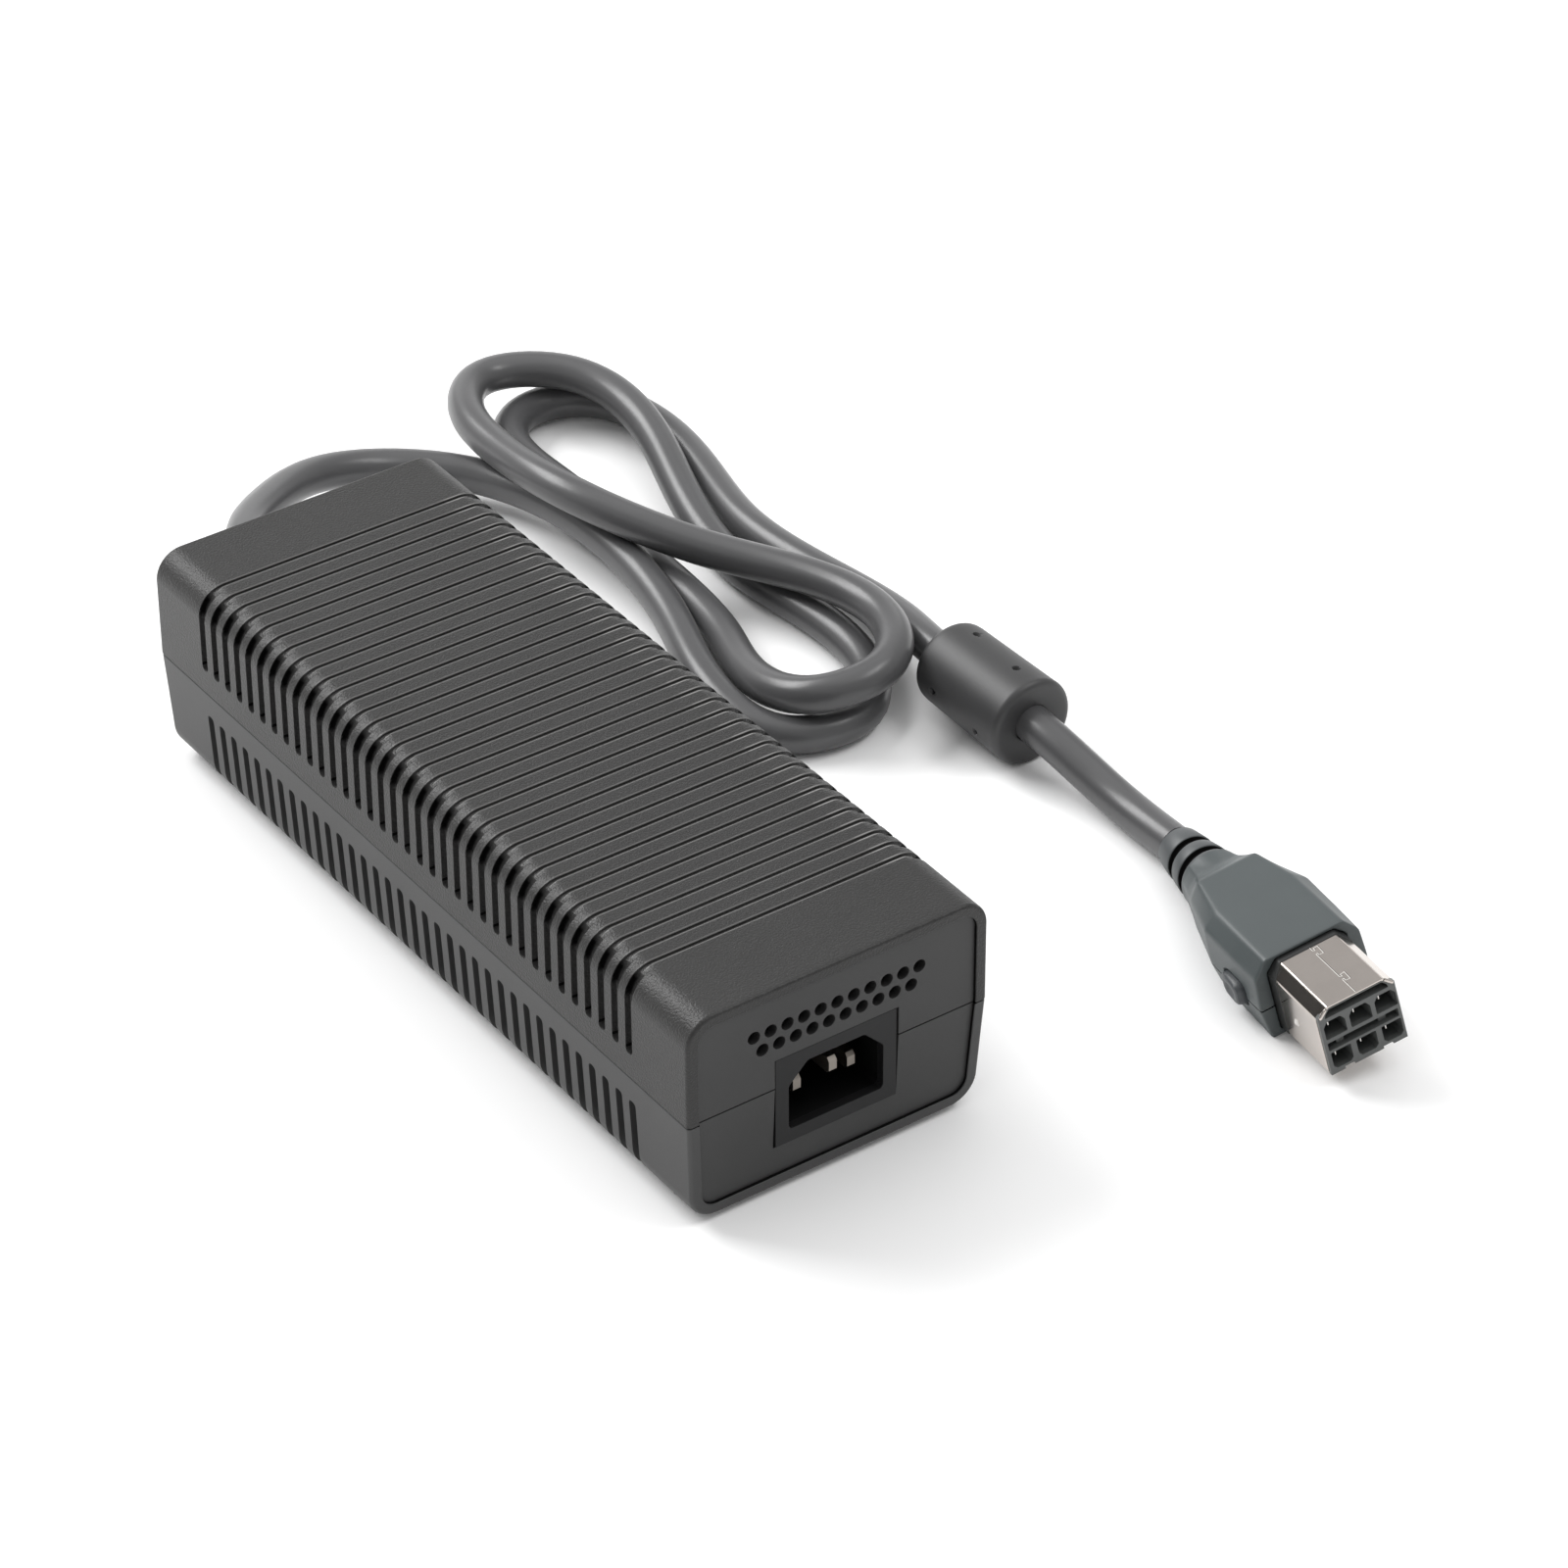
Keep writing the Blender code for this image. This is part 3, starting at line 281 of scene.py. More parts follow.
def painted(tree, attribute, under, over, kind="FLOAT"):
    """The value or colour under, turning into over where the mesh's attribute goes from 0 to 1."""
    inputs = {"Factor": attribute, "A": under, "B": over}
    return node(tree, "ShaderNodeMix", inputs, data_type=kind).outputs["Result"]


def raised(tree, shader, height, depth, strength=1.0):
    """Bumps the surface by the height, up to depth in mm."""
    bump = node(tree, "ShaderNodeBump", {"Strength": strength, "Distance": depth * MM, "Height": height})
    tree.links.new(bump.outputs["Normal"], shader.inputs["Normal"])


def moulded(name, colour, roughness, grain=0.35, depth=0.02, mottle=0.10, specular=0.5, coat=0.0,
            shaded=False):
    """Moulded plastic or rubber: grain of that size and depth in mm, and slow changes of tone and gloss.

    A shaded one is painted black where its mesh's shade attribute is 1: painted shade on the grooves' far
    walls.
    It is smoother, and lighter as a painted highlight, along the edges of the grooves, where its polish
    attribute is 1.
    """
    made, tree, shader = shader_nodes(name)
    where = tree.nodes.new("ShaderNodeTexCoord").outputs["Object"]
    fine = noise(tree, where, 1.0 / (grain * MM), 3.0)
    darker = [c * (1 - mottle) for c in colour]
    lighter = [c * (1 + mottle) for c in colour]
    tone = two_tones(tree, noise(tree, where, MOTTLE_SCALE, 3.0), 0.3, 0.7, darker, lighter)
    gloss = spread(tree, fine, max(0.02, roughness - 0.06), min(1.0, roughness + 0.06))
    strength = 1.0
    shader.inputs["Specular IOR Level"].default_value = specular
    shader.inputs["Coat Weight"].default_value = coat
    if shaded:
        shade = node(tree, "ShaderNodeAttribute", {}, attribute_name="shade").outputs["Fac"]
        polish = node(tree, "ShaderNodeAttribute", {}, attribute_name="polish").outputs["Fac"]
        tone = painted(tree, polish, tone, GLINT_COLOUR, "RGBA")
        tone = painted(tree, shade, tone, WALL_SHADE_COLOUR, "RGBA")
        gloss = painted(tree, polish, gloss, POLISHED)
        strength = spread(tree, polish, 1.0, 0.08)
        tree.links.new(spread(tree, shade, specular, 0.03), shader.inputs["Specular IOR Level"])
    raised(tree, shader, fine, depth, strength)
    tree.links.new(tone, shader.inputs["Base Color"])
    tree.links.new(gloss, shader.inputs["Roughness"])
    return made


def metal(name, colour, roughness, grain=0.4, depth=0.002, stretch=(1.0, 1.0, 1.0)):
    """Plated or bare metal: faint drawn lines or grain, and patches of tarnish."""
    made, tree, shader = shader_nodes(name)
    where = tree.nodes.new("ShaderNodeTexCoord").outputs["Object"]
    drawn = node(tree, "ShaderNodeMapping", {"Scale": stretch, "Vector": where}).outputs["Vector"]
    fine = noise(tree, drawn, 1.0 / (grain * MM), 4.0)
    tarnished = [c * 0.86 for c in colour]
    tone = two_tones(tree, noise(tree, where, TARNISH_SCALE, 2.0), 0.0, 1.0, tarnished, colour)
    tree.links.new(tone, shader.inputs["Base Color"])
    gloss = spread(tree, fine, max(0.02, roughness - 0.08), roughness + 0.08)
    tree.links.new(gloss, shader.inputs["Roughness"])
    raised(tree, shader, fine, depth)
    shader.inputs["Metallic"].default_value = 1.0
    return made


CASE_TOP = moulded("case_spark", (0.0190, 0.0186, 0.0182), 0.38, grain=0.50, depth=0.18, specular=0.35,
                   shaded=True)
CASE_PLAIN = moulded("case_fine", (0.030, 0.030, 0.030), 0.46, grain=0.30, depth=0.012)
PANEL = moulded("case_panel", (0.022, 0.022, 0.022), 0.50, grain=0.25, depth=0.010)
# Painted shade: near black laid on holes, grooves, wells, gaps and turned-in ends, where there is only shade
SHADOW = moulded("case_gap", (0.002, 0.002, 0.002), 0.9, grain=0.4, depth=0.01, specular=0.1)
INLET = moulded("inlet_black", (0.008, 0.008, 0.0085), 0.40, grain=0.25, depth=0.008, specular=0.28)
# Painted shade: darker than the inlet's face, for the inlet's cavity and the back behind the contact block
CAVITY_SHADE = moulded("inlet_cavity_black", (0.002, 0.002, 0.002), 0.6, grain=0.3, depth=0.01, specular=0.12)
PIN = metal("pin_nickel", (0.31, 0.28, 0.25), 0.36, stretch=(1, 0.05, 1))
RUBBER = moulded("foot_rubber", (0.008, 0.008, 0.008), 0.80, grain=0.5, depth=0.03)
SCREW = metal("screw_zinc", (0.52, 0.52, 0.54), 0.32)
JACKET = moulded("lead_jacket", (0.074, 0.074, 0.076), 0.32, grain=0.75, depth=0.010, mottle=0.06)
SLEEVE = moulded("sleeve_plastic", (0.036, 0.036, 0.037), 0.47, grain=0.35, depth=0.014)
GRIP = moulded("grip_plastic", (0.053, 0.064, 0.066), 0.42, grain=0.33, depth=0.020, mottle=0.06)
BUTTON_GREY = moulded("button_plastic", (0.045, 0.050, 0.055), 0.42, grain=0.30, depth=0.012)
BLOCK = moulded("block_plastic", (0.078, 0.082, 0.080), 0.42, grain=0.25, depth=0.008)
COLLAR_GREY = moulded("collar_plastic", (0.020, 0.021, 0.021), 0.50, grain=0.25, depth=0.008, specular=0.35)
BOOT = moulded("boot_rubber", (0.066, 0.072, 0.075), 0.46, grain=0.33, depth=0.014, mottle=0.06)
# Pale, lighter than the shield's nickel: on the seam's rounded edge it is partly a painted highlight
SEAM_LIGHT = moulded("shield_seam", (0.66, 0.64, 0.61), 0.30, grain=0.2, depth=0.002, mottle=0.03)
NICKEL = metal("shield_nickel", (0.60, 0.55, 0.51), 0.16, grain=0.25, depth=0.0010, stretch=(1, 0.2, 1))
CONTACT = metal("contact_tin", (0.66, 0.64, 0.61), 0.30)
INSIDE = (
    moulded("board_epoxy", (0.03, 0.16, 0.06), 0.40, grain=0.6, depth=0.02, mottle=0.25),
    moulded("capacitor_sleeve", (0.010, 0.018, 0.045), 0.25, grain=0.8, depth=0.01, coat=0.4),
    moulded("ferrite", (0.045, 0.045, 0.050), 0.62, grain=0.30, depth=0.04),
    moulded("winding_tape", (0.60, 0.40, 0.06), 0.30, grain=1.2, depth=0.03),
    moulded("film_capacitor", (0.70, 0.50, 0.04), 0.35, grain=0.5, depth=0.01),
    moulded("fuse_ceramic", (0.78, 0.76, 0.70), 0.40, grain=0.5, depth=0.01),
    metal("heat_sink_aluminium", (0.80, 0.81, 0.82), 0.35, stretch=(1, 0.04, 1)),
    moulded("device_mould", (0.015, 0.015, 0.015), 0.45, grain=0.25, depth=0.02),
    moulded("fan_plastic", (0.018, 0.018, 0.019), 0.40, grain=0.3, depth=0.01),
)


# ---- building


def add(name, mesh, slot, *finishes, body="brick", matrix=None, replaces=(), flat=False):
    """A visible piece, on its body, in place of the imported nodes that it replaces."""
    obj = placed(name, mesh)
    for finish in finishes:
        mesh.materials.append(finish)
    if matrix is not None:
        mesh.transform(matrix)
    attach(obj, body)
    if replaces:
        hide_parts(*replaces)
    if flat:
        weighted(obj)
    return obj


def smooth_by_angle(mesh, degrees=30):
    """Rounds are shaded smooth, and edges sharper than this stay sharp."""
    bm = bmesh.new()
    bm.from_mesh(mesh)
    bmesh.ops.remove_doubles(bm, verts=bm.verts, dist=1e-7)
    bmesh.ops.recalc_face_normals(bm, faces=bm.faces)
    for face in bm.faces:
        face.smooth = True
    for edge in bm.edges:
        if len(edge.link_faces) == 2:
            edge.smooth = edge.calc_face_angle() < math.radians(degrees)
    bm.to_mesh(mesh)
    bm.free()


def mesh_from(bm, name):
    mesh = bpy.data.meshes.new(name)
    bm.to_mesh(mesh)
    bm.free()
    return mesh


def placed(name, data):
    obj = bpy.data.objects.new(name, data)
    bpy.context.scene.collection.objects.link(obj)
    return obj


def weighted(obj):
    with_settings(obj.modifiers.new("flat_faces_flat", "WEIGHTED_NORMAL"), keep_sharp=True, weight=60)


def bevelled(obj, width_mm):
    with_settings(obj.modifiers.new("edge_round", "BEVEL"), width=width_mm * MM, segments=2,
                  limit_method="ANGLE", angle_limit=math.radians(30), harden_normals=False)
    weighted(obj)


def prism(bm, first, second):
    """A closed solid between two matching loops of points in mm."""
    near, far = [[bm.verts.new([MM * value for value in point]) for point in loop]
                 for loop in (first, second)]
    bm.faces.new(near[::-1])
    bm.faces.new(far)
    for i in range(len(near)):
        after = (i + 1) % len(near)
        bm.faces.new((near[i], near[after], far[after], far[i]))


def grid_mesh(name, grid, dark=None, wrap=False, weights=None, sharp=30):
    """A skin over rows of points in mm. Faces that dark(row, column) names take the second material."""
    grid = np.array(grid)
    rows, columns = grid.shape[:2]
    faces = []
    shades = []
    for r in range(rows - 1):
        for c in range(columns if wrap else columns - 1):
            after = (c + 1) % columns
            low, high = r * columns, (r + 1) * columns
            faces.append((low + c, low + after, high + after, high + c))
            shades.append(1 if dark is not None and dark(r, c) else 0)
    mesh = bpy.data.meshes.new(name)
    mesh.from_pydata((grid.reshape(-1, 3) * MM).tolist(), [], faces)
    mesh.polygons.foreach_set("material_index", shades)
    for kind, values in (weights or {}).items():
        mesh.attributes.new(kind, "FLOAT", "POINT").data.foreach_set("value", np.ravel(values))
    smooth_by_angle(mesh, sharp)
    return mesh


def points_at(x, y, z):
    """A row of points; a single coordinate is the same all along it."""
    return np.stack(np.broadcast_arrays(x, y, z), axis=1)


def curve(name, loops, closed, **settings):
    """A curve through each loop's points in metres."""
    data = with_settings(bpy.data.curves.new(name, "CURVE"), **settings)
    for loop in loops:
        spline = data.splines.new("POLY")
        spline.points.add(len(loop) - 1)
        for point, place in zip(spline.points, loop):
            point.co = (*place, 1.0)
        spline.use_cyclic_u = closed
    return data


def plate_mesh(name, outlines, thickness, bevel):
    """A flat plate with rounded rims in its XY plane, from z = 0 back. Inner outlines are holes."""
    loops = [[(x * MM, y * MM, 0.0) for x, y in outline] for outline in outlines]
    data = curve(name, loops, True, dimensions="2D", fill_mode="BOTH", extrude=(thickness / 2 - bevel) * MM,
                 bevel_depth=bevel * MM, bevel_resolution=2, offset=-bevel * MM)
    helper = placed(name, data)
    bpy.context.view_layer.update()
    mesh = bpy.data.meshes.new_from_object(helper.evaluated_get(bpy.context.evaluated_depsgraph_get()))
    bpy.data.objects.remove(helper, do_unlink=True)
    bpy.data.curves.remove(data)
    mesh.transform(Matrix.Translation((0, 0, -thickness / 2 * MM)))
    smooth_by_angle(mesh, 25)
    return mesh


def corner_curve(before, here, after, reach, steps):
    """Points of a curve that rounds the corner at here, from reach before it to reach after it."""
    start, end = here + before * reach, here + after * reach
    parts = [step / steps for step in range(steps + 1)]
    return [tuple(start * (1 - part) ** 2 + here * 2 * part * (1 - part) + end * part**2) for part in parts]


def rounded(points, radius, steps=4):
    """A polygon with its corners rounded by curves of up to this radius."""
    out = []
    count = len(points)
    for i, here in enumerate(points):
        here = Vector(here)
        before, after = Vector(points[i - 1]) - here, Vector(points[(i + 1) % count]) - here
        half = before.angle(after) / 2
        reach = min(radius / math.tan(half), before.length * 0.45, after.length * 0.45)
        out += corner_curve(before.normalized(), here, after.normalized(), reach, steps)
    return out


def turned_mesh(name, profile, axis, angles=FULL_TURN, dark=None):
    """A turned skin about an axis along Y. The profile lists (radius or radii, y) in mm."""
    rows = [points_at(axis[0] + radius * np.cos(angles), y, axis[1] + radius * np.sin(angles))
            for radius, y in profile]
    return grid_mesh(name, rows, dark=dark, wrap=True)


def box(left, right, low, high):
    return [(left, low), (right, low), (right, high), (left, high)]


def arc(centre, radius, start, end, steps):
    """Points of (first, second) along an arc, angles in degrees."""
    angles = np.radians(np.linspace(start, end, steps + 1))
    return [(centre[0] + radius * math.cos(a), centre[1] + radius * math.sin(a)) for a in angles]


# ---- case


def half_outline(upper, side, face, radius, lip=0.22, tuck=1.6):
    """One shell's right-hand outline, from the seam to the middle of its flat face, with its zones.

    side is the half-width at the seam, face the height of the flat face. Zones run from 0 on the side
    to 1 on the face. The points are close together where the grooves or slots end.
    """
    sign = 1 if upper else -1
    slope = 0.0 if upper else DRAFT
    seam = PARTING + sign * SEAM
    near = UPPER_ENDS_Z if upper else LOWER_ENDS_Z
    centre_z = face - sign * radius
    corner_x = side - slope * abs(PARTING - centre_z) - radius
    points = [(side - tuck, seam), (side - lip, seam), (side - lip * 0.3, seam + sign * lip * 0.3)]
    points.append((side, seam + sign * lip))
    halfway = near[-1] + (centre_z - near[-1]) / 2
    points += [(side - slope * abs(PARTING - z), z) for z in (*near, halfway, centre_z)]
    zones = [0.0] * len(points) + [step / CORNER_STEPS for step in range(1, CORNER_STEPS + 1)]
    points += arc((corner_x, centre_z), radius, 0, sign * 90, CORNER_STEPS)[1:]
    parts = UPPER_FACE_PARTS if upper else LOWER_FACE_PARTS
    points += [(corner_x * (1 - part), face) for part in parts]
    return np.array(points), np.array(zones + [1.0] * len(parts))


def whole_outline(half):
    return np.concatenate([half, half[-2::-1] * (-1, 1)])


def groove_rows(upper):
    """(y, offset from the groove's middle) of the rows across every groove."""
    across = GROOVE_OFFSETS if upper else SLOT_OFFSETS
    offsets = [-a for a in across[::-1]] + [0.0] + list(across)
    return [(y + offset, offset) for y in GROOVES for offset in offsets]


def end_rows():
    """(y, inset) over the end's edge, across the rim and down into the panel's recess."""
    edge = HALF_LENGTH - EDGE_ROUND
    rows = [(edge - 4.0, 0.0), (edge, 0.0)] + arc((edge, EDGE_ROUND), EDGE_ROUND, -75, 0, 5)
    rows += [(HALF_LENGTH, RIM - 0.20), (HALF_LENGTH - 0.06, RIM - 0.06), (HALF_LENGTH - 0.20, RIM)]
    return rows + [(HALF_LENGTH - PANEL_DEPTH - 1.2, RIM)]


def ramp_between(values, start, end):
    """0 up to start, rising to 1 by end, which may be below start for a fall."""
    return np.clip((values - start) / (end - start), 0.0, 1.0)


def shell_mesh(upper):
    """One shell's skin, swept along the case: grooves or slots sunk in, ends turned in to the panels."""
    half_zones = half_outline(upper, HALF_WIDTH, TOP, CORNER)[1]
    zones = np.concatenate([half_zones, half_zones[-2::-1]])
    face = TOP if upper else BOTTOM
    sign = 1 if upper else -1
    side = HALF_WIDTH - (0.0 if upper else SHELL_STEP)

    def outline(inset):
        lip, tuck = (0.22, 1.6) if inset < RIM - 0.3 else (0.03, 0.05)
        half = half_outline(upper, side - inset, face - sign * inset, CORNER - inset, lip, tuck)
        return whole_outline(half[0])

    skin = outline(0.0)
    inward = outline(1.0) - skin
    if upper:
        steps = np.linspace(0, 1, len(GROOVE_DEPTHS))
        reach = np.interp(zones, steps, GROOVE_HALF_WIDTHS)
        deep = np.interp(zones, steps, GROOVE_DEPTHS)
        power = np.interp(zones, steps, GROOVE_POWERS)
        run = skin[:, 1] - GROOVE_END
    else:
        reach, deep, power = (np.full(len(skin), value) for value in LOWER_SLOT)
        run = np.minimum(SLOT_TOP - skin[:, 1], np.abs(skin[:, 0]) - SLOT_INNER)
    ramped = ramp_between(zones, *RAMP_ZONES) * upper
    # Where the painted shade lies on the grooves' far walls round the corner
    wall_shade_ends = np.where(skin[:, 0] > 0, zones < WALL_SHADE_FAR_SIDE, True) * upper
    wall_shade = ramp_between(zones, *WALL_SHADE_START) * ramp_between(zones, *WALL_SHADE_FADE) * wall_shade_ends
    # Painted highlight along the grooves' edges on the top, brightest near their right ends
    place, length, extra = GLINT_END
    shine = ramped * (GLINT_LEVEL + extra * np.exp(-(((skin[:, 0] - place) / length) ** 2)))
    in_hole = (zones == 0) & (skin[:, 1] > HOLE_Z[0]) & (skin[:, 1] < HOLE_Z[1]) & upper

    rows = []
    dark = []
    weights = {"shade": [], "polish": []}

    def add_row(y, points, lean, in_dark=False, shade=0.0, polish=0.0):
        shift = DRAFT * (PARTING - points[:, 1]) if lean and not upper else 0.0
        rows.append(points_at(points[:, 0], y - math.copysign(1.0, y) * shift, points[:, 1]))
        dark.append(np.zeros(len(points), bool) | in_dark)
        weights["shade"].append(np.zeros(len(points)) + shade)
        weights["polish"].append(np.zeros(len(points)) + polish)

    for y, inset in reversed(end_rows()):
        add_row(-y, outline(inset), True)
    for y, offset in groove_rows(upper):
        past = np.maximum(reach - run, 0.0)
        away = np.where(run > reach, abs(offset), np.hypot(past, offset)) / reach
        part = np.where(run > 0, np.clip(1 - away**power, 0.0, 1.0), 0.0)
        part = part * (1 - ramped) + np.interp(offset, *RAMP) * ramped
        depth = part * (deep + HOLE_EXTRA * in_hole)
        wall = ramp_between(offset - reach, *WALL_SHADE_SPAN) * (offset < reach + 0.005)
        points = skin + inward * depth[:, None]
        add_row(y, points, False, in_hole & (away < 0.995), wall_shade * wall, shine * np.interp(offset, *GLINT))
    for y, inset in end_rows():
        add_row(y, outline(inset), True)
    total = len(rows)

    # Painted shade: the holes' insides and the strips turned in behind the panels take the near-black second
    # material
    def in_shadow(r, c):
        across = (dark[r][c] and dark[r][c + 1]) or (dark[r + 1][c] and dark[r + 1][c + 1])
        return r in (0, total - 2) or bool(across)

    name = "upper_shell_skin" if upper else "lower_shell_skin"
    return grid_mesh(name, rows, dark=in_shadow, weights=weights, sharp=20)


def panel_outline(upper):
    """The end panel's outer edge in mm, from the seam round over its flat face."""
    sign = 1 if upper else -1
    face = (TOP if upper else BOTTOM + 0.1) - sign * RIM
    side = HALF_WIDTH - RIM
    radius = CORNER - RIM
    slope = 0.0 if upper else DRAFT
    centre_z = face - sign * radius
    corner_x = side - slope * abs(PARTING - centre_z) - radius
    half = [(side, PARTING + sign * SEAM)] + arc((corner_x, centre_z), radius, 0, sign * 90, 12)
    return half + [(-x, z) for x, z in half[::-1]]


def vent_centres():
    for count, height in VENT_ROWS:
        for i in range(count):
            yield (i - (count - 1) / 2) * VENT_PITCH, PARTING + height


def panel_notch(end, sign):
    """The notch in a panel's edge at the seam, round the inlet or the gland."""
    if end > 0:
        return arc((0.0, PARTING), GLAND_HOLE, sign * 178.5, sign * 1.5, 20)
    w = BEZEL[0] + BEZEL_GAP
    seam = PARTING + sign * SEAM
    edge = INLET_Z + sign * (BEZEL[1] + BEZEL_GAP)
    return [(-w, seam), (-w, edge), (w, edge), (w, seam)]


def make_panel(end, upper):
    """One half of an end's flat panel, with its notch and, in the upper half, the vents."""
    outline = panel_outline(upper) + panel_notch(end, 1 if upper else -1)
    holes = [arc(centre, VENT_RADIUS, 0, 345, 23) for centre in vent_centres()] if upper else []
    name = f"{'inlet' if end < 0 else 'lead'}_end_{'upper' if upper else 'lower'}_panel"
    mesh = plate_mesh(name, [outline] + holes, PANEL_THICKNESS, 0.10)
    turn = Matrix.Rotation(math.radians(180 if end > 0 else 0), 4, "Z") @ UPRIGHT
    lean = Matrix.Identity(4)
    if not upper:
        # Shears the plate so that its face follows the lower shell's draft.
        lean[1][2] = end * DRAFT
        lean[1][3] = -end * DRAFT * PARTING * MM
    place = lean @ Matrix.Translation((0, end * (HALF_LENGTH - PANEL_DEPTH) * MM, 0)) @ turn
    add(name, mesh, "case_plastic", PANEL, matrix=place, flat=True)


def make_case():
    for half, finish in (("upper", CASE_TOP), ("lower", CASE_PLAIN)):
        mesh = shell_mesh(half == "upper")
        add(f"{half}_case", mesh, "case_plastic", finish, SHADOW, replaces=[f"{half}_shell"], flat=True)
    for end in (-1, 1):
        for upper in (True, False):
            make_panel(end, upper)


def make_inlet():
    """The appliance inlet: a bezel in the panel, and its cavity's walls and floor, painted darker with shade.
    """
    w, h = BEZEL
    a, b, c = CAVITY
    outer = rounded(box(-w, w, -h, h), 0.35)
    cavity = rounded([(-a, -b), (a, -b), (a, b - c), (a - c, b), (c - a, b), (-a, b - c)], 1.3, 5)
    w, h = INLET_BODY
    body = rounded(box(-w, w, -h, h), 0.8)

    def plate(name, outlines, back, thickness, bevel, finish, **more):
        matrix = Matrix.Translation((0, (back - INLET_FACE) * MM, INLET_Z * MM)) @ UPRIGHT
        mesh = plate_mesh(name, outlines, thickness, bevel)
        add(name, mesh, "inlet_plastic", finish, matrix=matrix, **more)

    plate("inlet_bezel", [outer, cavity], 0.0, 2.2, 0.14, INLET, replaces=["inlet_housing"], flat=True)
    plate("inlet_body", [body, cavity], 2.1, 14.5, 0.1, CAVITY_SHADE)
    plate("inlet_floor", [body], 16.5, 2.8, 0.1, CAVITY_SHADE)


# ---- lead


def second_derivatives(knots, values):
    """Natural cubic spline: the second derivative at each knot."""
    gaps = np.diff(knots)
    slopes = np.diff(values, axis=0) / gaps[:, None]
    system = np.eye(len(knots))
    inner = np.arange(1, len(knots) - 1)
    system[inner, inner - 1] = gaps[:-1]
    system[inner, inner] = 2 * (gaps[:-1] + gaps[1:])
    system[inner, inner + 1] = gaps[1:]
    right = np.zeros_like(values)
    right[1:-1] = 6 * np.diff(slopes, axis=0)
    return np.linalg.solve(system, right)


def smooth_route(route_mm, count):
    """Points evenly along the smooth curve through the route, none lower than the lead's radius."""
    points = np.array(route_mm) * MM
    knots = np.concatenate([[0.0], np.cumsum(np.linalg.norm(np.diff(points, axis=0), axis=1))])
    bend = second_derivatives(knots, points)
    where = np.linspace(0.0, knots[-1], count)
    span = np.clip(np.searchsorted(knots, where, side="right") - 1, 0, len(knots) - 2)
    gap = (knots[span + 1] - knots[span])[:, None]
    b = (where - knots[span])[:, None] / gap
    a = 1 - b
    places = a * points[span] + b * points[span + 1]
    places += ((a**3 - a) * bend[span] + (b**3 - b) * bend[span + 1]) * gap**2 / 6
    places[:, 2] = np.maximum(places[:, 2], CORD_RADIUS + 0.0001)
    return places


def make_lead():
    data = curve("output_lead", [smooth_route(CORD_ROUTE_MM, 420)], False, dimensions="3D",
                 bevel_depth=CORD_RADIUS, bevel_resolution=8, use_fill_caps=True)
    return add("output_lead", data, "lead_jacket", JACKET, replaces=["lead"])


def make_gland():
    """The ribbed, tapering strain relief where the lead leaves the case."""
    y = HALF_LENGTH
    profile = [(6.2, y - 3.0), (6.2, y + 0.3), (7.6, y + 0.3)] + arc((7.6, y + 0.7), 0.4, -90, 0, 4)
    profile += [(8.0, y + 1.3), (7.6, y + 1.7), (7.2, y + 2.1)]
    for ring in range(3):
        start = y + 2.6 + ring * 3.7
        radius = 7.1 - ring * 0.4
        profile += [(radius, start), (radius, start + 0.8), (radius - 0.15, start + 1.1)]
        profile += [(GLAND_ROOT, start + 1.3), (GLAND_ROOT, start + 2.6), (radius - 0.4, start + 2.8)]
    profile += [(5.9, y + 13.8), (5.8, y + 14.6), (5.4, y + 15.0), (4.7, y + 15.0)]
    mesh = turned_mesh("strain_relief", profile, (0.0, PARTING))
    return add("strain_relief", mesh, "lead_jacket", JACKET, replaces=["lead_gland"])


def near_steps(low, high, centres, reach, fine, coarse):
    """Values from low to high, fine near the centres and coarse elsewhere."""
    values = [low]
    while values[-1] < high:
        close = any(abs(values[-1] + fine - c) < reach for c in centres)
        values.append(values[-1] + (fine if close else coarse))
    return np.array(values[:-1])


def make_sleeve():
    """The suppressor's moulded sleeve, with rounded ends and four small pin holes painted inside with shade.
    """
    front, rear = SLEEVE_ENDS
    big, small = SLEEVE_RADII
    # The opening round the lead, as radii and how far in from the end
    mouth = [(4.66, 1.0), (4.72, 0.25), (5.3, 0.05)]
    profile = [(radius, front + back) for radius, back in mouth] + [(9.0, front)]
    profile += arc((big - 1.7, front + 1.7), 1.7, -90, 0, 8)
    for y in near_steps(front + 2.4, rear - 3.0, [hole[0] for hole in PIN_HOLES], 1.2, 0.15, 0.9):
        profile.append((big + (small - big) * (y - front) / (rear - front), y))
    profile += arc((small - 2.6, rear - 2.6), 2.6, 0, 90, 8)
    profile += [(radius, rear - back) for radius, back in mouth[::-1]]
    angles = np.radians(near_steps(0.0, 360.0, [hole[1] for hole in PIN_HOLES], 7.0, 0.8, 4.0))

    rows = []
    dark = []
    for radius, y in profile:
        sunk = np.zeros(len(angles))
        for hole_y, hole_angle in PIN_HOLES:
            away = np.hypot(y - hole_y, radius * (angles - math.radians(hole_angle))) / PIN_HOLE_RADIUS
            sunk = np.maximum(sunk, np.clip((1.12 - away) / 0.3, 0.0, 1.0) * (radius > 8))
        rows.append((radius - PIN_HOLE_DEPTH * sunk, y))
        dark.append(sunk > 0.7)

    # Painted shade inside the pin holes
    def in_hole(r, c):
        return bool(dark[r][c] and dark[r + 1][c])

    mesh = turned_mesh("suppressor_body", rows, SLEEVE_AXIS, angles, in_hole)
    return add("suppressor_body", mesh, "sleeve_plastic", SLEEVE, SHADOW, replaces=["suppressor_sleeve"])


# ---- plug


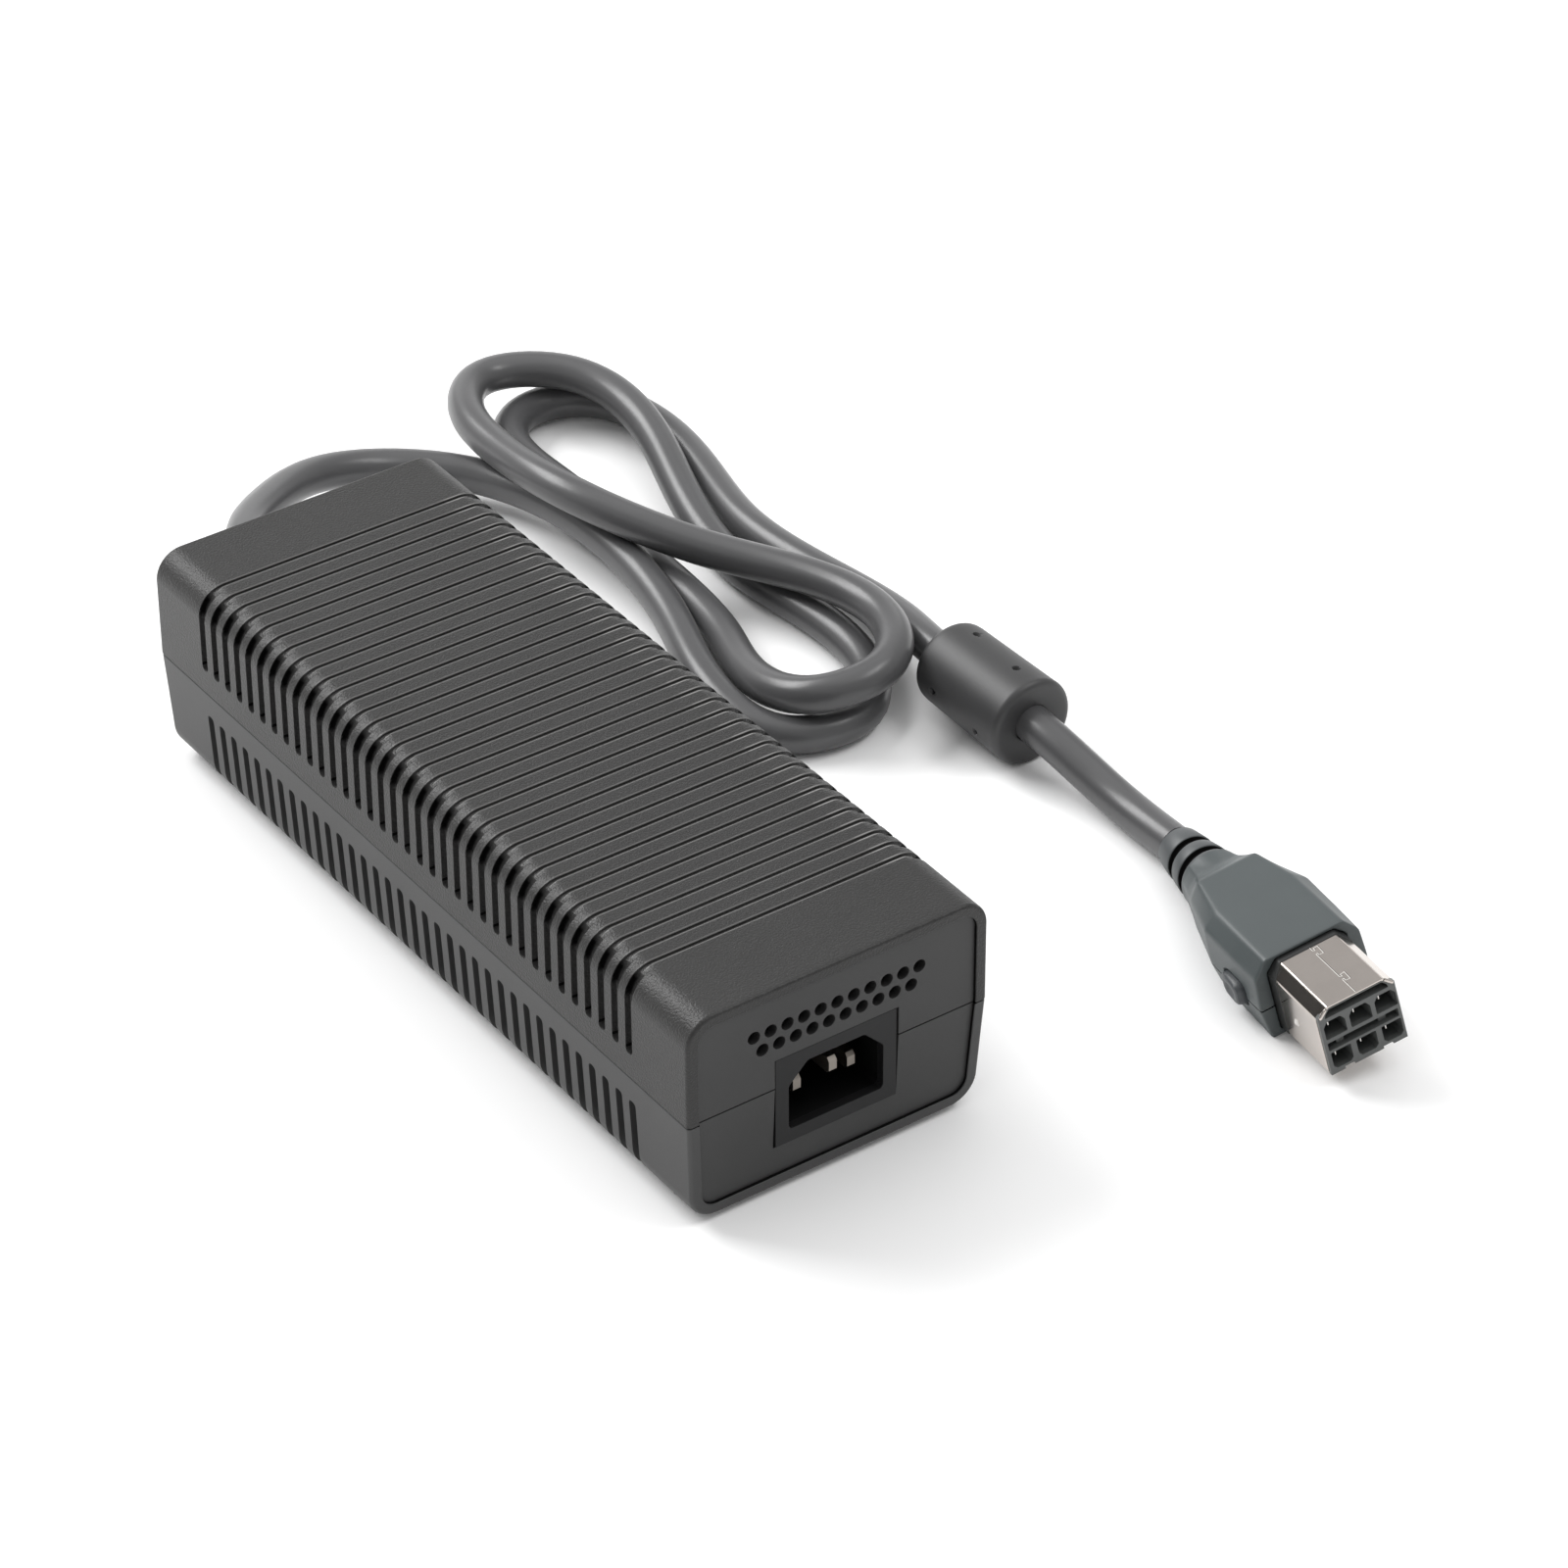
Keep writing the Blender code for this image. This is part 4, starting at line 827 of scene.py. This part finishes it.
def shield_outline(grow=0.0, bend=1.0, low_bend=0.7):
    """The shield's outline in (x, z), counter-clockwise from the lower left, its bends rounded."""
    w, h, c = SHIELD[0] + grow, SHIELD[1] + grow, SHIELD[2]
    corners = [Vector(p) for p in ((-w, -h), (w, -h), (w, h - c), (w - c, h), (c - w, h), (-w, h - c))]
    points = []
    for i, here in enumerate(corners):
        back = (corners[i - 1] - here).normalized()
        on = (corners[(i + 1) % len(corners)] - here).normalized()
        reach = (low_bend if i < 2 else bend) / math.tan(back.angle(on) / 2)
        points += corner_curve(back, here, on, reach, 6)
    return points


def mouth_ring(outline, back):
    """The outline at the shield's mouth, set back further below the lip, where the block shows."""
    def setback(z):
        if z > LIP:
            return 0.0
        return LIP_SETBACK if z < LIP - LIP_STEP else LIP_SETBACK_HALFWAY

    return [(x, setback(z) + back, z) for x, z in outline]


def on_plug(name, mesh, slot, *finishes, **more):
    return add(name, mesh, slot, *finishes, matrix=PLUG, **more)


def make_seam():
    """The seam along the shield's top: a bright edge, partly a painted highlight, and beside it a strip of
    painted shade.
    """
    pieces = []
    # A pale rounded edge, partly a painted highlight, and a near-black strip of painted shade beside it
    for name, finish, half, shift in (("seam_edge", SEAM_LIGHT, 0.10, 0.0), ("seam_gap", SHADOW, 0.06, 0.16)):
        bm = bmesh.new()
        path = [Vector(point) + Vector((shift, shift / 2)) for point in SEAM_PATH]
        low, high = SHIELD[1] - 0.05, SHIELD[1] + half * 0.25
        for start, end in zip(path[:-1], path[1:]):
            along = (end - start).normalized() * half * 0.8
            side = Vector((along.y, -along.x)).normalized() * half
            section = [(-1.0, low), (-0.7, high), (0.7, high), (1.0, low)]
            prism(bm, *[[(*(place + side * across), z) for across, z in section]
                        for place in (start - along, end + along)])
        pieces.append(on_plug(name, mesh_from(bm, name), "shield_nickel", finish))
    return pieces


def make_hems():
    """The hems rolled round the front ends of the shield's two upper bends."""
    w, h, c = SHIELD
    pieces = []
    for name, side in (("left_hem", -1), ("right_hem", 1)):
        low, high = Vector((side * w, h - c)), Vector((side * (w - c), h))
        out = Vector((side, 1.0)).normalized()
        rows = []
        for step in np.linspace(0.16, 0.84, 9):
            radius = HEM_RADIUS * (1.0 if 0.2 < step < 0.8 else 0.75)
            roll = []
            for turn in np.radians(np.linspace(0, 330, 16)):
                place = low + (high - low) * step + out * (radius * math.cos(turn) - HEM_INSET)
                roll.append((place.x, HEM_INSET - radius * math.sin(turn), place.y))
            rows.append(roll)
        mesh = grid_mesh(name, rows, wrap=True)
        pieces.append(on_plug(name, mesh, "shield_nickel", NICKEL))
    return pieces


def make_shield():
    """The folded metal shell: two skins joined at the mouth, a seam on top and rolled hems."""
    inner = shield_outline(-SHEET, bend=0.7, low_bend=0.4)
    rows = [at_depth(inner, GRIP_FRONT), mouth_ring(inner, 0.25)]
    rows.append(mouth_ring(shield_outline(-0.40, bend=0.7, low_bend=0.4), 0.04))
    rows.append(mouth_ring(shield_outline(-0.08), 0.0))
    rows.append(mouth_ring(shield_outline(), 0.08))
    rows += [at_depth(shield_outline(), y) for y in (3.0, 6.0, 10.0, 14.0, 18.0, 24.0)]
    mesh = grid_mesh("shield_shell", rows, wrap=True)
    shell = on_plug("shield_shell", mesh, "shield_nickel", NICKEL, replaces=["plug_shield"], flat=True)
    return [shell] + make_seam() + make_hems()


def at_depth(outline, y):
    return [(x, y, z) for x, z in outline]


def socket_outline(column, row, up):
    """One socket's outline: the upper row's have their top corners cut, the others their low ones."""
    x = column * SOCKET_PITCH + SOCKET_SHIFT
    low, high = row
    half, cut = (2.62, 1.3) if up else (2.45, 0.8)
    if up:
        shape = [(-half, low), (half, low), (half, high - cut), (half - cut * 0.75, high)]
        shape += [(cut * 0.75 - half, high), (-half, high - cut)]
    else:
        shape = [(-half, high), (-half, low + cut), (cut - half, low), (half - cut, low)]
        shape += [(half, low + cut), (half, high)]
    return rounded([(x + a, b) for a, b in shape], 0.25, 2)


def block_outline():
    """The outline of the block's front, which fills the shield, with two notches below."""
    w, h, c = SHIELD[0] - 0.15, SHIELD[1], SHIELD[2]
    low = -h - 0.02
    outline = [(-w, low)]
    for x in (-NOTCH_X, NOTCH_X):
        left, right, top = x - NOTCH_HALF_WIDTH, x + NOTCH_HALF_WIDTH, low + NOTCH_HEIGHT
        outline += [(left, low), (left, top), (right, top), (right, low)]
    bend, top = LIP - 0.1, h - SHEET - 0.1
    return outline + [(w, low), (w, bend), (w - c + 0.1, top), (c - w - 0.1, top), (-w, bend)]


def make_blades():
    """The six contacts' blades, one in each socket."""
    bm = bmesh.new()
    for row in (SOCKET_TOP_ROW, SOCKET_LOW_ROW):
        for column in (-1, 0, 1):
            x = column * SOCKET_PITCH + BLADE_SHIFT
            top = row[1] - 0.05
            low = top - BLADE_HEIGHT
            view = [(0.8, low + 0.2), (0.95, low), (8.6, low), (8.6, top), (0.95, top), (0.8, top - 0.2)]
            prism(bm, *[[(x + across, y, z) for y, z in view] for across in (-BLADE_HALF, BLADE_HALF)])
    mesh = mesh_from(bm, "contact_blades")
    smooth_by_angle(mesh)
    replaces = [f"contact_{number}" for number in range(1, 7)]
    blades = on_plug("contact_blades", mesh, "contact_metal", CONTACT, replaces=replaces)
    bevelled(blades, 0.05)
    return blades


def make_contact_block():
    """The moulded block in the mouth: a frame, a recess under the lip, six sockets and a slot."""
    recess = rounded([(-8.0, 6.0), (8.0, 6.0), (7.6, 7.0), (6.6, 7.95), (-6.6, 7.95), (-7.6, 7.0)], 0.2, 2)
    inner = [(-9.1, -8.3), (9.1, -8.3), (9.1, 5.9), (8.6, 6.0), (-8.6, 6.0), (-9.1, 5.9)]
    holes = [rounded(box(-8.8, 8.8, -2.6, -0.5), 0.2, 2)]
    for column in (-1, 0, 1):
        holes.append(socket_outline(column, SOCKET_TOP_ROW, True))
        holes.append(socket_outline(column, SOCKET_LOW_ROW, False))
    pieces = []

    def plate(name, outlines, front, depth, finish, bevel, replaces=()):
        mesh = plate_mesh(name, outlines, depth, bevel)
        place = PLUG @ UPRIGHT @ Matrix.Translation((0, 0, -front * MM))
        pieces.append(add(name, mesh, "block_plastic", finish, matrix=place, replaces=replaces, flat=True))

    plate("block_frame", [block_outline(), recess] + holes, 0.15, 1.3, BLOCK, 0.12, ["contact_block"])
    plate("block_body", [inner] + holes, 1.4, 7.6, BLOCK, 0.05)
    # The back behind the contact block is painted dark with shade
    plate("block_back", [shield_outline(-SHEET - 0.15)], 9.0, 1.5, CAVITY_SHADE, 0.1)
    for name, x in (("slot_post_left", -SLOT_POST_X), ("slot_post_right", SLOT_POST_X)):
        plate(name, [rounded(box(x - 0.95, x + 0.95, -2.62, -0.48), 0.15, 2)], 1.5, 6.0, BLOCK, 0.12)
    return pieces + [make_blades()]


def grip_corners(y):
    """The grip's outline at one place along it, as the (x, z) of its edges, the right half's first."""
    where = [station[0] for station in GRIP_STATIONS]
    values = np.array([np.ravel(station[1:]) for station in GRIP_STATIONS])
    right = np.array([np.interp(y, where, column) for column in values.T]).reshape(4, 2)
    return np.concatenate([right, right[::-1] * (-1, 1)])


def grip_ways(upper):
    """The directions, as (x, z), from the middle of the split to the points of one half's skin."""
    angles = np.concatenate([GRIP_ANGLES, math.pi - GRIP_ANGLES[-2::-1]])
    return np.stack([np.cos(angles), np.sin(angles) if upper else -np.sin(angles)], axis=1)


def grip_ring(y, way):
    """The points in (x, z) where the grip's skin crosses the ways: a softened polygon, or the neck."""
    corners = grip_corners(y)
    total = np.zeros(len(way))
    for here, after in zip(corners, np.roll(corners, -1, axis=0)):
        edge = after - here
        normal = np.array([edge[1], -edge[0]]) / np.linalg.norm(edge)
        gap = normal @ (here - GRIP_MIDDLE)
        total += np.clip(way @ normal / gap, 1e-6, None) ** GRIP_SHARPNESS
    reach = total ** (-1.0 / GRIP_SHARPNESS)
    start, radius, blend = NECK
    if y > start:
        along = -SPLIT * way[:, 1]
        neck = along + np.sqrt(np.maximum(along**2 - SPLIT**2 + radius**2, 0.01))
        reach = blend * np.logaddexp(reach / blend, neck / blend)
    return GRIP_MIDDLE + way * reach[:, None]


def smooth_grip_ring(y, way):
    """The average of the rings near one place, which rounds the grip's facets off."""
    steps = np.linspace(-0.8, 0.8, 9)
    weights = np.exp(-(steps / 0.4) ** 2 / 2)
    rings = [grip_ring(min(max(y + step, GRIP_FRONT), GRIP_BACK), way) for step in steps]
    return sum(weight * points for weight, points in zip(weights / weights.sum(), rings))


def mouth_points(way, grow):
    """The points in (x, z) where the ways cross the shield's outline, grown by so much."""
    outline = np.array(shield_outline(grow)) - GRIP_MIDDLE
    x, z = outline.T
    edge_x, edge_z = (np.roll(outline, -1, axis=0) - outline).T
    way_x, way_z = way[:, :1], way[:, 1:]
    cross = way_x * edge_z - way_z * edge_x
    reach = (x * edge_z - z * edge_x) / cross
    part = (x * way_z - z * way_x) / cross
    met = (reach > 0) & (part >= -1e-6) & (part <= 1 + 1e-6)
    return GRIP_MIDDLE + way * np.where(met, reach, 0.0).max(axis=1)[:, None]


def button_well(y, z):
    """How deep the grip is sunk at these places round its button, from 0 to 1."""
    middle_y, middle_z, half_long, half_tall, _ = BUTTON
    across = np.abs((y - middle_y) / (half_long + WELL_GAP)) ** BUTTON_SQUARENESS
    up = np.abs((z - middle_z) / (half_tall + WELL_GAP)) ** BUTTON_SQUARENESS
    return np.clip((1.05 - (across + up) ** (1 / BUTTON_SQUARENESS)) / 0.09, 0.0, 1.0)


def grip_rows(upper):
    """The rows of points over one half of the grip, from mouth to back, and which are painted with shade."""
    sign = 1 if upper else -1
    seam = SPLIT + sign * SPLIT_GAP
    way = grip_ways(upper)
    rows = []
    dark = []

    def add_row(y, points, shade, end_shade, tuck):
        """Keeps the row on its side of the split, and turns its two ends in along the split."""
        points[:, 1] = np.where(sign * (points[:, 1] - seam) < 0, seam, points[:, 1])
        points = np.concatenate([points[:1] - (tuck, 0.0), points, points[-1:] + (tuck, 0.0)])
        rows.append(points_at(points[:, 0], y, points[:, 1]))
        dark.append(np.concatenate([[end_shade], shade, [end_shade]]))

    # The front face, from the opening round the collar outwards over a small rounded edge; its opening
    # painted with shade
    for back, grow, inside in ((2.5, 0.35, True), (0.25, 0.35, True), (0.04, 0.55, False)):
        add_row(GRIP_FRONT + back, mouth_points(way, grow), np.full(len(way), inside), inside, 0.0)
    places = [(GRIP_FRONT + GRIP_ROUND * (1 - math.sin(turn)), GRIP_ROUND * (1 - math.cos(turn)))
              for turn in np.radians((90, 65, 40, 20))]
    fine_places = [BUTTON[0], 45.0, 57.5]
    places += [(y, 0.0) for y in near_steps(GRIP_FRONT + 1.0, GRIP_BACK, fine_places, 6.0, 0.28, 0.7)]
    places += [(GRIP_BACK, 0.0), (GRIP_BACK + 0.05, 1.2)]
    for y, inset in places:
        points = smooth_grip_ring(y, way)
        sunk = button_well(y, points[:, 1]) if inset == 0 else np.zeros(len(points))
        points = points - way * (inset + WELL_DEPTH * sunk)[:, None]
        add_row(y, points, sunk > 0.35, True, SPLIT_TUCK)
    return rows, dark


def make_grip():
    pieces = []
    for half in ("upper", "lower"):
        rows, dark = grip_rows(half == "upper")
        last = len(rows[0]) - 2

        # Painted shade on the button's well, inside the mouth and along the split
        def in_painted_shade(r, c):
            return c in (0, last) or bool(dark[r][c:c + 2].all() and dark[r + 1][c:c + 2].all())

        name = f"grip_{half}_half"
        mesh = grid_mesh(name, rows, dark=in_painted_shade)
        replaces = [f"plug_grip_{half}"]
        pieces.append(on_plug(name, mesh, "grip_plastic", GRIP, SHADOW, replaces=replaces, flat=True))
    return pieces


def make_collar():
    """The dark collar that closes the grip's mouth round the shield, its top set further back."""
    front, top_front, back = COLLAR
    top = SHIELD[1] - SHIELD[2] + 0.4

    def front_ring(outline, further=0.0):
        return [(x, (top_front if z > top else front) + further, z) for x, z in outline]

    outer = shield_outline(0.16)
    rows = [front_ring(shield_outline(-0.3)), front_ring(shield_outline(0.02)), front_ring(outer, 0.15)]
    rows.append(at_depth(outer, back))
    mesh = grid_mesh("grip_collar", rows, wrap=True)
    return [on_plug("grip_collar", mesh, "block_plastic", COLLAR_GREY, flat=True)]


def make_boot():
    """The ribbed, tapering boot behind the grip, its grooves painted with shade."""
    (front, wide), (back, narrow) = BOOT_ENDS

    def radius(y):
        return wide + (narrow - wide) * (y - front) / (back - front)

    profile = [(5.0, front - 1.1), (wide - 0.2, front - 0.9), (wide, front)]
    for middle in BOOT_GROOVES:
        start, stop = middle - BOOT_GROOVE_HALF, middle + BOOT_GROOVE_HALF
        lip = [(0.0, 0.35), (0.08, 0.1), (0.25, 0.0)]
        profile += [(radius(start) - cut, start - out) for cut, out in lip]
        profile += [(radius(start) - 1.15, start + 0.12), (radius(stop) - 1.1, stop - 0.12)]
        profile += [(radius(stop) - cut, stop + out) for cut, out in lip[::-1]]
    profile += [(radius(back - 0.8), back - 0.8), (radius(back - 0.3) - 0.1, back - 0.3)]
    profile += [(narrow - 0.4, back), (4.4, back + 0.1)]
    deep = [radius(y) - r > 0.2 for r, y in profile]

    # Painted shade in the grooves
    def in_groove(r, c):
        return 2 < r < len(profile) - 2 and deep[r] and deep[r + 1]

    mesh = turned_mesh("ribbed_boot", profile, (0.0, 0.0), dark=in_groove)
    return [on_plug("ribbed_boot", mesh, "lead_jacket", BOOT, SHADOW, replaces=["plug_boot"])]


def make_button(name, side):
    """A domed side button with a dimple, a little lower at its back edge."""
    middle_y, middle_z, half_long, half_tall, proud = BUTTON
    turns = np.linspace(0, 2 * math.pi, 48, endpoint=False)
    power = 2 / BUTTON_SQUARENESS
    across, up = [np.sign(wave) * np.abs(wave) ** power for wave in (np.cos(turns), np.sin(turns))]
    rows = []
    for sunk, scale in BUTTON_PROFILE:
        lean = BUTTON_LEAN if sunk < 0.5 else 0.0
        rows.append(points_at(side * (proud - sunk - lean * across * scale),
                              middle_y + across * half_long * scale, middle_z + up * half_tall * scale))
    mesh = grid_mesh(f"{name}_button", rows, wrap=True)
    body = f"latch_button_{name}"
    return on_plug(f"{name}_button", mesh, "grip_plastic", BUTTON_GREY, body=body, replaces=[body])


def make_arm(name, side):
    """The latch arm: a strip whose rounded hook stands out through the shield's side."""
    inner, outer, low, high = ARM
    hook_y, hook_z, half_long, half_tall, out = HOOK
    rows = []
    for y in np.concatenate([np.linspace(10.2, 15.4, 27), np.linspace(17.0, 55.0, 16)]):
        rise = max(0.0, 1 - ((y - hook_y) / half_long) ** 2)
        row = [(side * inner, y, low)]
        for z in np.linspace(low, high, 23):
            bump = max(0.0, rise - ((z - hook_z) / half_tall) ** 2)
            row.append((side * (outer + out * math.sqrt(bump)), y, z))
        rows.append(row + [(side * inner, y, high)])
    mesh = grid_mesh(f"{name}_latch_arm", rows, wrap=True)
    body = f"latch_arm_{name}"
    return on_plug(f"{name}_latch_arm", mesh, "shield_nickel", SEAM_LIGHT, body=body, replaces=[body])


def make_latches():
    pieces = []
    for name, side in (("left", -1), ("right", 1)):
        pieces += [make_button(name, side), make_arm(name, side)]
    return pieces


def make_plug():
    return make_shield() + make_contact_block() + make_grip() + make_collar() + make_boot() + make_latches()


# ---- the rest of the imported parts


def dress_nodes():
    """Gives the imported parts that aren't replaced their materials and rounded edges."""
    finishes = {finish.name: (finish, 0.3) for finish in INSIDE}
    finishes.update({"pin_metal": (PIN, 0.6), "foot_rubber": (RUBBER, 0.3), "screw_steel": (SCREW, 0.15)})
    slots = {part["node"]: part["material_slot"] for part in frame["record"]["subparts"]}
    for name, packed in frame["nodes"].items():
        if slots[name] in finishes:
            finish, width = finishes[slots[name]]
            packed.data.materials.clear()
            packed.data.materials.append(finish)
            bevelled(packed, width)


# ---- stage


def area_light(name, place, target, size, watts):
    data = with_settings(bpy.data.lights.new(name, "AREA"), shape="RECTANGLE", size=size[0], size_y=size[1],
                         energy=watts)
    light = placed(name, data)
    light.location = place
    light.rotation_euler = (Vector(target) - Vector(place)).to_track_quat("-Z", "Y").to_euler()


def make_floor():
    bm = bmesh.new()
    bmesh.ops.create_grid(bm, x_segments=1, y_segments=1, size=4.0)
    mesh = mesh_from(bm, "floor")
    made, tree, shader = shader_nodes("paper_floor")
    slow = noise(tree, tree.nodes.new("ShaderNodeTexCoord").outputs["Generated"], 3.0, 2.0)
    tone = two_tones(tree, slow, 0.0, 1.0, (0.95, 0.95, 0.95), (0.97, 0.97, 0.97))
    tree.links.new(tone, shader.inputs["Base Color"])
    shader.inputs["Roughness"].default_value = 0.9
    mesh.materials.append(made)
    placed("floor", mesh)


def make_stage():
    """The white floor, the even light from all round, and four softboxes."""
    make_floor()
    world = bpy.data.worlds.new("studio")
    world.use_nodes = True
    background = world.node_tree.nodes["Background"]
    background.inputs["Color"].default_value = (1.0, 1.0, 1.0, 1.0)
    background.inputs["Strength"].default_value = WORLD_LIGHT
    bpy.context.scene.world = world
    bpy.context.scene.view_settings.view_transform = "Standard"

    middle = Vector((0.03, 0.0, 0.03))
    area_light("rear_softbox", middle + Vector((-0.30, 0.665, 0.66)) * 2.0, middle, (1.3, 0.8), 34)
    area_light("overhead_softbox", middle + Vector((0.5, 0.1, 2.1)), middle, (2.6, 2.6), 15)
    area_light("back_wash", middle + Vector((0.467, 0.825, 0.24)) * 2.4, middle, (2.2, 0.5), 3.5)
    area_light("front_strip", middle + Vector((0.467, -0.35, 0.81)) * 1.7, middle, (0.9, 0.3), 6)


def make_camera():
    data = with_settings(bpy.data.cameras.new("camera"), lens=CAMERA_LENS, sensor_width=36.0,
                         clip_start=0.05, clip_end=20.0)
    camera = placed("camera", data)
    look = CAMERA_LOOK.to_track_quat("-Z", "Y").to_matrix().to_4x4()
    camera.matrix_world = Matrix.Translation(CAMERA_PLACE) @ look @ Matrix.Rotation(CAMERA_ROLL, 4, "Z")
    bpy.context.scene.camera = camera


make_camera()
make_stage()
lead = make_lead()
gland = make_gland()
sleeve = make_sleeve()
plug = make_plug()
make_case()
make_inlet()
dress_nodes()
